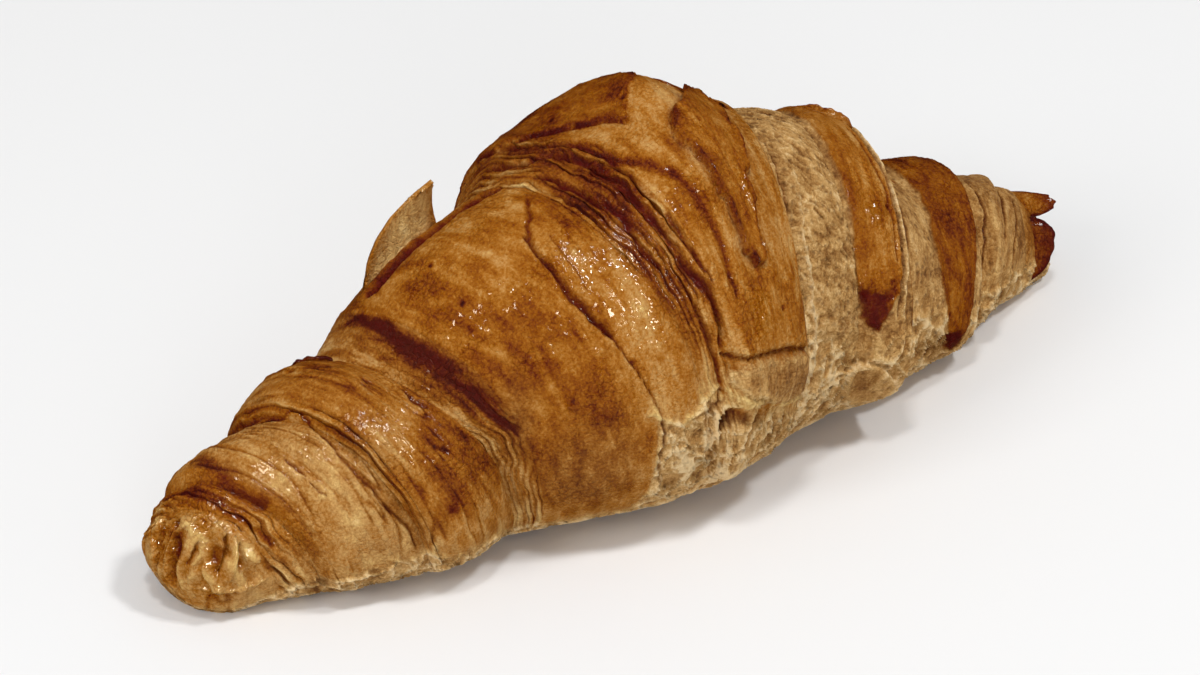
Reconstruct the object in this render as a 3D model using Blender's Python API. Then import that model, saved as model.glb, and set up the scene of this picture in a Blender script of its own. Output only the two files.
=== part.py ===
"""Mini butter croissant: one baked piece, lying along X, near end at -X, on the plane Z = 0."""

import math

import bmesh
import bpy
import numpy as np
from mathutils import Matrix, Vector

MM = 0.001

# Overall form, in metres
LENGTH = 100 * MM
NEAR_END = -51.0 * MM
FAR_END = 49.2 * MM
WAIST_HEIGHT = 0.42
UNDERSIDE_ROUNDNESS = 0.8
END_BOW = 3.4 * MM
FLAT_DEPTH = 1.0 * MM
NEAR_CAP = 5.0 * MM
FAR_CAP = 3.5 * MM

# Half widths and heights in millimetres at even stations from the near end to the far end
HALF_WIDTHS = [5.4, 6.4, 10.1, 11.5, 11.7, 15.1, 17.9, 16.3, 14.2, 13.1, 12.5, 10.3, 7.7, 5.0, 2.4]
HEIGHTS = [11.2, 15.3, 19.9, 22.2, 28.2, 32.1, 34.2, 36.3, 33.1, 29.9, 24.4, 17.7, 15.6, 11.0, 6.0]

# Mesh density round the roll
AROUND = 56

# The lines that run round the roll, from the near end to the far end. Each one's place along X is given
# in millimetres where it passes the front, the top, the back and the underside. Height is how far the
# skin stands out there, swell is how far the skin beyond it bulges, and rows is the mesh rows up to the
# next line. A lip and the foot beside it make the step where one wrap of dough ends on the next.
LINES = [
    dict(name="near_tip", front=-51.0, top=-51.0, back=-51.0, under=-51.0, height=0.0, swell=0.3, rows=6),
    dict(name="near_rim", front=-43.7, top=-48.6, back=-48.9, under=-43.9, height=-0.2, swell=0.3, rows=3),
    dict(name="near_foot_2", front=-40.6, top=-46.5, back=-46.7, under=-39.6, height=-0.5, swell=0.2, rows=1),
    dict(name="near_lip_2", front=-39.9, top=-45.7, back=-45.9, under=-38.9, height=0.3, swell=0.2, rows=3),
    dict(name="near_fold", front=-37.2, top=-41.7, back=-43.0, under=-36.6, height=-0.2, swell=0.2, rows=3),
    dict(name="near_foot_1", front=-32.1, top=-39.4, back=-39.8, under=-31.6, height=-0.8, swell=0.3, rows=1),
    dict(name="near_lip_1", front=-31.4, top=-38.4, back=-38.8, under=-30.9, height=0.5, swell=0.9, rows=6),
    dict(name="middle_foot", front=-23.5, top=-31.2, back=-31.2, under=-22.9, height=-1.4, swell=0.0, rows=1),
    dict(name="middle_layer", front=-22.7, top=-30.0, back=-29.6, under=-22.2, height=-0.6, swell=0.0, rows=1),
    dict(name="middle_crease", front=-22.2, top=-29.3, back=-28.8, under=-21.8, height=-1.0, swell=0.1, rows=2),
    dict(name="middle_lip", front=-21.1, top=-27.7, back=-26.6, under=-20.9, height=0.6, swell=0.8, rows=9),
    dict(name="tip_foot", front=-6.8, top=-13.1, back=-14.1, under=-7.4, height=-1.6, swell=0.0, rows=1),
    dict(name="tip_layer_1", front=-6.5, top=-12.1, back=-13.5, under=-7.0, height=-0.7, swell=0.0, rows=1),
    dict(name="tip_crease_1", front=-6.3, top=-11.5, back=-13.1, under=-6.8, height=-1.1, swell=0.0, rows=1),
    dict(name="tip_layer_2", front=-6.1, top=-10.4, back=-12.6, under=-6.5, height=0.1, swell=0.0, rows=1),
    dict(name="tip_crease_2", front=-5.9, top=-9.8, back=-12.3, under=-6.2, height=-0.3, swell=0.0, rows=1),
    dict(name="tip_lip", front=-5.6, top=-8.3, back=-11.6, under=-5.9, height=0.8, swell=0.3, rows=7),
    dict(name="tip_end_lip", front=2.1, top=7.3, back=8.7, under=3.4, height=0.7, swell=0.0, rows=1),
    dict(name="open_foot", front=3.4, top=8.8, back=10.2, under=4.7, height=-0.6, swell=0.4, rows=5),
    dict(name="open_skin", front=12.6, top=15.9, back=17.5, under=13.6, height=-0.1, swell=0.4, rows=4),
    dict(name="open_lip", front=17.7, top=22.4, back=23.2, under=18.2, height=2.4, swell=-0.2, rows=1),
    dict(name="far_foot_1", front=18.7, top=23.4, back=24.3, under=19.3, height=-1.5, swell=0.1, rows=3),
    dict(name="far_skin", front=27.0, top=25.6, back=27.3, under=27.0, height=-0.1, swell=0.5, rows=5),
    dict(name="far_lip_1", front=31.7, top=35.6, back=36.2, under=31.9, height=0.7, swell=0.0, rows=1),
    dict(name="far_foot_2", front=32.6, top=36.6, back=37.2, under=32.8, height=-0.6, swell=0.3, rows=3),
    dict(name="far_lip_2", front=35.4, top=41.4, back=41.8, under=36.0, height=0.5, swell=0.0, rows=1),
    dict(name="far_foot_3", front=36.2, top=42.2, back=42.6, under=36.8, height=-0.3, swell=0.1, rows=3),
    dict(name="far_rim", front=42.0, top=45.0, back=45.3, under=42.4, height=0.2, swell=0.2, rows=6),
    dict(name="far_tip", front=49.2, top=49.2, back=49.2, under=49.2, height=0.0, swell=0.0, rows=0),
]

# How far down the flanks the steps are pressed flat, as the sine of the angle round the roll
PRESSED_FROM = -0.15
PRESSED_TO = -0.85
PRESSED_KEEP = 0.25

# A swell's fullness: 1 is a plain arch between its lines, lower is a flatter top with steeper sides
SWELL_FULLNESS = 0.7

# The rolled-down end of the outermost wrap, a pad on the front flank: from start to end along X with
# soft sides, in millimetres, and from low to high round the roll, in degrees, with a steep foot and a
# long fade above
TONGUE = dict(start=-5.2, end=2.4, side=1.0, low=0.0, high=13.0, foot=3.0, fade=30.0, height=1.0)

# Slow unevenness of the baked dough: waves along, waves round, phase, height in millimetres
UNEVENNESS = [(2.3, 1, 0.4, 0.35), (4.1, 2, 1.9, 0.25), (6.7, 3, 4.0, 0.18), (9.2, 2, 2.6, 0.12)]

# Flakes of skin that stand clear of the roll. Each one's foot runs between two places on the skin, given
# as millimetres along X and degrees round the roll. Its top rises from there by one move and curls by
# another, in millimetres. A pointed flake narrows towards its top: 0 is round and 1 is a sharp leaf.
# Segments are the mesh's columns round the foot line and rows along it.
FLAKES = [
    dict(name="tall", start=(-26.4, 124), end=(-17.0, 135), rise=(0.4, 1.6, 8.0), curl=(1.4, -0.8, -0.6),
         pointed=0.0, segments=(12, 12)),
    dict(name="far_upper", start=(43.0, 108), end=(45.0, 52), rise=(5.0, -0.6, -2.6), curl=(0.2, -0.4, 0.4),
         pointed=0.5, segments=(8, 10)),
    dict(name="far_lower", start=(44.6, 14), end=(42.4, -38), rise=(4.6, -0.4, -1.0), curl=(0.2, 0.8, 0.2),
         pointed=0.1, segments=(8, 10)),
    dict(name="crest", start=(1.5, 102), end=(9.0, 82), rise=(-1.6, 0.6, 2.8), curl=(-0.8, 0.0, -0.5),
         pointed=0.4, segments=(6, 8)),
    dict(name="far_top", start=(25.6, 122), end=(29.2, 80), rise=(-1.4, 0.4, 1.6), curl=(-0.4, 0.0, -0.2),
         pointed=0.3, segments=(6, 8)),
    dict(name="near_top", start=(-34.8, 132), end=(-31.6, 108), rise=(-0.4, 0.6, 1.4), curl=(-0.2, 0.2, 0.0),
         pointed=0.3, segments=(6, 8)),
]
FLAKE_THICKNESS = 1.0 * MM
FLAKE_SINK = 0.6 * MM
FLAKE_ROOT = 1.5 * MM

CRUST = dict(color=(0.33, 0.13, 0.03, 1.0), roughness=0.45, metallic=0.0)


def clear_scene():
    for found in list(bpy.data.objects):
        bpy.data.objects.remove(found, do_unlink=True)


def new_collection(name):
    collection = bpy.data.collections.new(name)
    bpy.context.scene.collection.children.link(collection)
    return collection


def crust_material():
    material = bpy.data.materials.new("crust")
    material.use_nodes = True
    shader = material.node_tree.nodes["Principled BSDF"]
    shader.inputs["Base Color"].default_value = CRUST["color"]
    shader.inputs["Roughness"].default_value = CRUST["roughness"]
    shader.inputs["Metallic"].default_value = CRUST["metallic"]
    return material


def smooth_step(value, low, high):
    """Rises from 0 at low to 1 at high, level at both ends."""
    share = np.clip((value - low) / (high - low), 0.0, 1.0)
    return share * share * (3.0 - 2.0 * share)


def line_place(line, angle):
    """X of a line at an angle round the roll: the one wave through its four named places."""
    front, top, back, under = (line[side] * MM for side in ("front", "top", "back", "under"))
    mean = (front + top + back + under) / 4
    return (
        mean
        + (front - back) / 2 * np.cos(angle)
        + (top - under) / 2 * np.sin(angle)
        + (front + back - top - under) / 4 * np.cos(2 * angle)
    )


def along_stations(x, sizes):
    """A size at x, by a smooth curve through its values at even stations."""
    last = len(sizes) - 1
    place = np.clip((x / LENGTH + 0.5) * last, 0.0, last)
    left = np.minimum(place.astype(int), last - 1)
    share = place - left
    values = np.array(sizes) * MM
    before, start, end, after = (values[np.clip(left + step, 0, last)] for step in (-1, 0, 1, 2))
    return 0.5 * (
        2 * start
        + (end - before) * share
        + (2 * before - 5 * start + 4 * end - after) * share**2
        + (3 * start - before - 3 * end + after) * share**3
    )


def cap_share(x):
    """Share of the width left near the ends, which close like the end of an ellipse."""
    near = np.clip((x - NEAR_END) / NEAR_CAP, 0.0, 1.0)
    far = np.clip((FAR_END - x) / FAR_CAP, 0.0, 1.0)
    return np.sqrt(1 - (1 - near) ** 2) * np.sqrt(1 - (1 - far) ** 2)


def skin_height(place, angle):
    """How far the skin stands out from the plain roll, where place counts the lines passed."""
    heights = np.array([line["height"] for line in LINES])
    swells = np.array([line["swell"] for line in LINES])
    index = np.minimum(place.astype(int), len(LINES) - 2)
    share = place - index
    step = heights[index] * (1 - share) + heights[index + 1] * share
    bulge = swells[index] * (4 * share * (1 - share)) ** SWELL_FULLNESS
    pressed = smooth_step(-np.sin(angle), -PRESSED_FROM, -PRESSED_TO)
    return (step + bulge) * (1 - (1 - PRESSED_KEEP) * pressed) * MM


def tongue_height(x, angle):
    """The rounded end of the outermost wrap, a low pad on the front flank."""
    degrees = np.degrees(np.arctan2(np.sin(angle), np.cos(angle)))
    start, end, side = (TONGUE[name] * MM for name in ("start", "end", "side"))
    near_side = smooth_step(x, start - side, start + side)
    far_side = smooth_step(x, end - side, end + side)
    foot = smooth_step(degrees, TONGUE["low"] - TONGUE["foot"], TONGUE["low"] + TONGUE["foot"])
    fade = smooth_step(degrees, TONGUE["high"], TONGUE["high"] + TONGUE["fade"])
    return near_side * (1 - far_side) * foot * (1 - fade) * TONGUE["height"] * MM


def unevenness(x, angle):
    """Slow lumps of the baked dough: a few waves along X times waves round the roll."""
    turn = 2 * math.pi * x / LENGTH
    lumps = [
        height * np.sin(along * turn + phase) * np.cos(round_turns * angle + phase)
        for along, round_turns, phase, height in UNEVENNESS
    ]
    return sum(lumps) * MM


def skin_point(place, angle, lift=0.0):
    """Point of the skin at a place along the lines and an angle round the roll: 0 front, 90 degrees top."""
    index = np.minimum(place.astype(int), len(LINES) - 2)
    share = place - index
    places = np.stack([line_place(line, angle) for line in LINES])
    columns = np.arange(len(place))
    x = places[index, columns] * (1 - share) + places[index + 1, columns] * share
    width = along_stations(x, HALF_WIDTHS)
    height = along_stations(x, HEIGHTS)
    cap = cap_share(x)
    proud = (skin_height(place, angle) + tongue_height(x, angle) + unevenness(x, angle)) * cap + lift
    sine = np.sin(angle)
    y = END_BOW * (2 * x / LENGTH) ** 2 - (width * cap + proud) * np.cos(angle)
    middle = WAIST_HEIGHT * height
    above = ((height - middle) * cap + proud) * sine
    below = -middle * cap * np.abs(sine) ** UNDERSIDE_ROUNDNESS
    z = middle + np.where(sine > 0, above, below)
    return np.stack([x, y, np.maximum(z - FLAT_DEPTH, 0.0)], axis=-1)


def row_places():
    """Line place of each mesh row. The first and last stretches crowd their rows towards the tip."""
    places = []
    for index, line in enumerate(LINES):
        shares = np.arange(line["rows"]) / max(line["rows"], 1)
        if index == 0:
            shares = 1 - np.cos(shares * math.pi / 2)
        if index == len(LINES) - 2:
            shares = np.sin(shares * math.pi / 2)
        places.extend(index + shares)
    return np.array(places + [len(LINES) - 1.0])


def skin_at(x, angle, lift=0.0):
    """Point of the skin at a place along X and an angle round the roll."""
    lines = np.array([line_place(line, angle) for line in LINES])
    place = np.array([np.interp(x, lines, np.arange(len(LINES)))])
    return skin_point(place, np.array([angle]), lift)[0]


def build_flake(flake, collection, material):
    """A leaf from a flattened ball: its poles are the ends of its foot, its lower half is its root."""
    bm = bmesh.new()
    columns, rows = flake["segments"]
    bmesh.ops.create_uvsphere(bm, u_segments=columns, v_segments=rows, radius=1.0)
    rise = Vector(flake["rise"]) * MM
    curl = Vector(flake["curl"]) * MM
    ends = [skin_at(x * MM, math.radians(degrees)) for x, degrees in (flake["start"], flake["end"])]
    side = rise.cross(Vector(ends[1] - ends[0])).normalized() * FLAKE_THICKNESS / 2
    for vert in bm.verts:
        across, up, along = vert.co
        share = (along + 1) / 2
        x = (flake["start"][0] * (1 - share) + flake["end"][0] * share) * MM
        angle = math.radians(flake["start"][1] * (1 - share) + flake["end"][1] * share)
        foot = Vector(skin_at(x, angle, -FLAKE_SINK))
        tall = max(up, 0.0) * (1 - along * along) ** (flake["pointed"] / 2)
        root = FLAKE_ROOT * max(-up, 0.0)
        vert.co = foot + rise * tall + curl * tall * tall - rise.normalized() * root + side * across
    mesh = bpy.data.meshes.new("flake_" + flake["name"])
    bm.to_mesh(mesh)
    bm.free()
    leaf = bpy.data.objects.new("flake_" + flake["name"], mesh)
    collection.objects.link(leaf)
    mesh.materials.append(material)
    leaf.hide_render = True
    leaf.display_type = "WIRE"
    return leaf


def join_flakes(roll, flakes):
    """Fuses the flakes to the roll by one union and keeps the result as the roll's mesh."""
    union = roll.modifiers.new("flakes", "BOOLEAN")
    union.operation = "UNION"
    union.operand_type = "COLLECTION"
    union.collection = flakes
    union.solver = "EXACT"
    evaluated = roll.evaluated_get(bpy.context.evaluated_depsgraph_get())
    fused = bpy.data.meshes.new_from_object(evaluated)
    roll.modifiers.clear()
    roll.data = fused
    fused.name = "croissant"
    for leaf in list(flakes.objects):
        bpy.data.objects.remove(leaf, do_unlink=True)


def build_roll(collection, material):
    """A sphere whose rows are laid along the roll's lines and whose columns run round it."""
    places = row_places()
    bm = bmesh.new()
    bmesh.ops.create_uvsphere(bm, u_segments=AROUND, v_segments=len(places) - 1, radius=1.0)
    ball = np.array([vert.co for vert in bm.verts])
    row = np.rint(np.arccos(np.clip(-ball[:, 2], -1, 1)) / math.pi * (len(places) - 1)).astype(int)
    angle = math.pi - np.arctan2(ball[:, 1], ball[:, 0])
    for vert, point in zip(bm.verts, skin_point(places[row], angle)):
        vert.co = point
    bmesh.ops.triangulate(bm, faces=bm.faces)
    mesh = bpy.data.meshes.new("croissant")
    bm.to_mesh(mesh)
    bm.free()
    roll = bpy.data.objects.new("croissant", mesh)
    collection.objects.link(roll)
    mesh.materials.append(material)
    mesh.shade_smooth()
    return roll


def main():
    clear_scene()
    parts = new_collection("mini_croissant")
    material = crust_material()
    roll = build_roll(parts, material)
    flakes = new_collection("flakes")
    for flake in FLAKES:
        build_flake(flake, flakes, material)
    join_flakes(roll, flakes)
    corners = np.array([vert.co for vert in roll.data.vertices])
    middle = (corners.max(0) + corners.min(0)) / 2
    roll.data.transform(Matrix.Translation(Vector((-middle[0], -middle[1], -corners[:, 2].min()))))


main()
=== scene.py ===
import math
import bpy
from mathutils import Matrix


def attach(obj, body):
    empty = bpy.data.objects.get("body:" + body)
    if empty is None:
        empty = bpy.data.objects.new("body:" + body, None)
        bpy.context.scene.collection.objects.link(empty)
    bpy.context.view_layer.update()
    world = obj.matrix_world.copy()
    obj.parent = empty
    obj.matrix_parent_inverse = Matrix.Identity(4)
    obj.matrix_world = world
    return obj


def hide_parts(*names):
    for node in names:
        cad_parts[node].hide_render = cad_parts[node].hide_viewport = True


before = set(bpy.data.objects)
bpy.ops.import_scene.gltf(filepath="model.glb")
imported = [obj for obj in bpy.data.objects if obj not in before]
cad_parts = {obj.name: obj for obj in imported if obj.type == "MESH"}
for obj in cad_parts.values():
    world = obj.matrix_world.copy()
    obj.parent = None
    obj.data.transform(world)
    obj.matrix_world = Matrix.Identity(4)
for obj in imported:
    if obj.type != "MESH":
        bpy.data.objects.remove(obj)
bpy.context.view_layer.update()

from types import SimpleNamespace

import bpy
import numpy as np
from mathutils import Vector

mm = 0.001

# The roll: the same driving sizes as the solid, in millimetres
roll = dict(
    length=100.0,
    nearEnd=-51.0,
    farEnd=49.2,
    nearCap=5.0,
    farCap=3.5,
    waistHeight=0.42,
    undersideRoundness=0.8,
    endBow=3.4,
    flatDepth=1.0,
    shift=(0.9, 0.0, 0.0),  # from the roll's own middle to the footprint's middle
    halfWidths=[5.4, 6.4, 10.1, 11.5, 11.7, 15.1, 17.9, 16.3, 14.2, 13.1, 12.5, 10.3, 7.7, 5.0, 2.4],
    heights=[11.2, 15.3, 19.9, 22.2, 28.2, 32.1, 34.2, 36.3, 33.1, 29.9, 24.4, 17.7, 15.6, 11.0, 6.0],
    pressedFrom=0.15,  # steps fade below this sine under the waist
    pressedTo=0.85,
    pressedKeep=0.25,
    lineWobble=0.22,
)

# Lines round the roll: place along X at the front, top, back and underside, height of the skin there,
# swell of the skin beyond, then for the stretch beyond: bake at its start and end, dough share, layers
# (no dough or layers unless given)
lines = [
    dict(name="nearTip", at=(-51.0, -51.0, -51.0, -51.0), height=0.0, swell=0.3, bake=(0.45, 0.55)),
    dict(name="nearRim", at=(-43.7, -48.6, -48.9, -43.9), height=-0.2, swell=0.3, bake=(0.64, 0.58), layers=4),
    dict(name="nearFoot2", at=(-40.6, -46.5, -46.7, -39.6), height=-0.5, swell=0.2, bake=(0.66, 0.56),
         layers=1),
    dict(name="nearLip2", at=(-39.9, -45.7, -45.9, -38.9), height=0.3, swell=0.2, bake=(0.56, 0.38),
         dough=0.25),
    dict(name="nearFold", at=(-37.2, -41.7, -43.0, -36.6), height=-0.2, swell=0.2, bake=(0.38, 0.48),
         dough=0.35),
    dict(name="nearFoot1", at=(-32.1, -39.4, -39.8, -31.6), height=-0.8, swell=0.3, bake=(0.66, 0.54),
         layers=2),
    dict(name="nearLip1", at=(-31.4, -38.4, -38.8, -30.9), height=0.5, swell=0.9, bake=(0.5, 0.6), dough=0.1),
    dict(name="middleFoot", at=(-23.5, -31.2, -31.2, -22.9), height=-1.4, swell=0.0, bake=(0.48, 0.66),
         dough=0.2, layers=6),
    dict(name="middleLip", at=(-21.1, -27.7, -26.6, -20.9), height=0.6, swell=0.8, bake=(0.62, 0.54)),
    dict(name="tipFoot", at=(-6.4, -12.7, -14.1, -7.2), height=-1.6, swell=0.0, bake=(0.62, 0.62), dough=0.1,
         layers=9),
    dict(name="tipLip", at=(-4.2, -7.7, -11.2, -5.2), height=0.8, swell=0.3, bake=(0.54, 0.46)),
    dict(name="tipEndLip", at=(4.0, 8.0, 9.2, 4.2), height=0.7, swell=0.0, bake=(0.46, 0.34), dough=0.3,
         layers=1),
    dict(name="openFoot", at=(4.9, 9.0, 10.3, 5.0), height=-0.6, swell=0.4, bake=(0.4, 0.42), dough=1.0),
    dict(name="openSkin", at=(12.6, 15.9, 17.5, 13.6), height=-0.1, swell=0.4, bake=(0.42, 0.4), dough=1.0),
    dict(name="openLip", at=(17.7, 22.4, 23.2, 18.2), height=2.4, swell=-0.2, bake=(0.6, 0.66), dough=0.3,
         layers=3),
    dict(name="farFoot1", at=(18.7, 23.4, 24.3, 19.3), height=-1.5, swell=0.1, bake=(0.38, 0.4), dough=1.0),
    dict(name="farSkin", at=(27.0, 28.6, 29.6, 27.0), height=-0.1, swell=0.5, bake=(0.4, 0.4), dough=1.0),
    dict(name="farLip1", at=(31.7, 35.6, 36.2, 31.9), height=0.7, swell=0.0, bake=(0.45, 0.4), dough=0.6,
         layers=2),
    dict(name="farFoot2", at=(32.6, 36.6, 37.2, 32.8), height=-0.6, swell=0.3, bake=(0.42, 0.44), dough=0.8),
    dict(name="farLip2", at=(35.4, 41.4, 41.8, 36.0), height=0.5, swell=0.0, bake=(0.44, 0.4), dough=0.6,
         layers=1),
    dict(name="farFoot3", at=(36.2, 42.2, 42.6, 36.8), height=-0.3, swell=0.1, bake=(0.42, 0.46), dough=0.8),
    dict(name="farRim", at=(42.0, 45.0, 45.3, 42.4), height=0.2, swell=0.2, bake=(0.44, 0.85), dough=0.3),
    dict(name="farTip", at=(49.2, 49.2, 49.2, 49.2), height=0.0, swell=0.0, bake=(0.9, 0.9)),
]
lineIndex = {line["name"]: number for number, line in enumerate(lines)}


def smoothStep(value, low, high):  # 0 below low, 1 above high, level at both ends
    share = np.clip((value - low) / (high - low), 0.0, 1.0)
    return share * share * (3.0 - 2.0 * share)


# Value noise: a random number at each corner of a cubic lattice, blended smoothly in between, -1 to 1
def valueNoise(points, cell, seed):
    place = points / cell
    corner = np.floor(place).astype(np.int64)
    share = place - corner
    share = share * share * (3.0 - 2.0 * share)
    total = 0.0
    for stepX in (0, 1):
        for stepY in (0, 1):
            for stepZ in (0, 1):
                mix = (corner[..., 0] + stepX) * 374761393 + (corner[..., 1] + stepY) * 668265263
                mix = mix + (corner[..., 2] + stepZ) * 2147483647 + seed * 1274126177
                mix = (mix ^ (mix >> 13)) * 1103515245 & 0x7FFFFFFF
                mix = (mix ^ (mix >> 16)) & 0xFFFF
                weight = (share[..., 0] if stepX else 1 - share[..., 0])
                weight = weight * (share[..., 1] if stepY else 1 - share[..., 1])
                weight = weight * (share[..., 2] if stepZ else 1 - share[..., 2])
                total = total + weight * (mix / 32767.5 - 1.0)
    return total


def fractalNoise(points, cell, seed, octaves=3):  # value noise plus the same at half the size and strength
    total = 0.0
    for octave in range(octaves):
        total = total + valueNoise(points, cell / 2**octave, seed + octave) / 2**octave
    return total / (2 - 2.0 ** (1 - octaves))


# Cell noise: distances to the nearest and second nearest of one random point in each lattice cell
def cellNoise(points, cell, seed):
    place = points / cell
    corner = np.floor(place).astype(np.int64)
    nearest = np.full(place.shape[:-1], 9.0)
    second = np.full(place.shape[:-1], 9.0)
    for stepX in (-1, 0, 1):
        for stepY in (-1, 0, 1):
            for stepZ in (-1, 0, 1):
                home = corner + np.array((stepX, stepY, stepZ))
                mix = home[..., 0] * 73856093 ^ home[..., 1] * 19349663 ^ home[..., 2] * 83492791 ^ seed * 2654435
                spot = []
                for axis in range(3):
                    mix = (mix * 1103515245 + 12345) & 0x7FFFFFFF
                    spot.append(((mix >> 8) & 0xFFFF) / 65536.0)
                distance = np.linalg.norm(home + np.stack(spot, -1) - place, axis=-1)
                second = np.minimum(second, np.maximum(nearest, distance))
                nearest = np.minimum(nearest, distance)
    return nearest, second


def alongStations(x, sizes):  # Catmull-Rom curve through sizes at even stations
    last = len(sizes) - 1
    place = np.clip((x / roll["length"] + 0.5) * last, 0.0, last)
    left = np.minimum(place.astype(int), last - 1)
    share = place - left
    before, start, end, after = (np.array(sizes)[np.clip(left + step, 0, last)] for step in (-1, 0, 1, 2))
    slopes = (end - before) * share + (2 * before - 5 * start + 4 * end - after) * share**2
    return 0.5 * (2 * start + slopes + (3 * start - before - 3 * end + after) * share**3)


def capShare(x):  # ends close like half an ellipse
    near = np.clip((x - roll["nearEnd"]) / roll["nearCap"], 0.0, 1.0)
    far = np.clip((roll["farEnd"] - x) / roll["farCap"], 0.0, 1.0)
    return np.sqrt(1 - (1 - near) ** 2) * np.sqrt(1 - (1 - far) ** 2)


# A line's place round the roll: the one wave through its four named places, plus a small wobble
def linePlaces(angle):
    rows = []
    for number, line in enumerate(lines):
        front, top, back, under = line["at"]
        row = (front + top + back + under) / 4 + (front - back) / 2 * np.cos(angle)
        row = row + (top - under) / 2 * np.sin(angle) + (front + back - top - under) / 4 * np.cos(2 * angle)
        if 0 < number < len(lines) - 1:
            circle = np.stack([np.cos(angle) * 2, np.sin(angle) * 2, np.full_like(angle, number * 0.8)], -1)
            row = row + roll["lineWobble"] * fractalNoise(circle, 1.0, 5)
        rows.append(row)
    return np.array(rows)


# Point of the roll: X between two lines, then a flattened ring whose radius is the plain roll's plus proud
def ringPoint(x, angle, proud):
    width = alongStations(x, roll["halfWidths"])
    height = alongStations(x, roll["heights"])
    cap = capShare(x)
    sine = np.sin(angle)
    y = roll["endBow"] * (2 * x / roll["length"]) ** 2 - (width * cap + proud) * np.cos(angle)
    middle = roll["waistHeight"] * height
    above = ((height - middle) * cap + proud) * sine
    below = -middle * cap * np.abs(sine) ** roll["undersideRoundness"]
    z = np.maximum(middle + np.where(sine > 0, above, below) - roll["flatDepth"], 0.0)
    return np.stack([x, y, z], -1)


def pressedShare(angle):  # 1 on the flanks and top, little on the underside
    pressed = smoothStep(-np.sin(angle), roll["pressedFrom"], roll["pressedTo"])
    return 1 - (1 - roll["pressedKeep"]) * pressed


def unevenness(x, angle):  # slow lumps: waves along times waves round
    turn = 2 * math.pi * x / roll["length"]
    lumps = ((2.3, 1, 0.4, 0.35), (4.1, 2, 1.9, 0.25), (6.7, 3, 4.0, 0.18), (9.2, 2, 2.6, 0.12))
    return sum(h * np.sin(a * turn + p) * np.cos(r * angle + p) for a, r, p, h in lumps)


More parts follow.
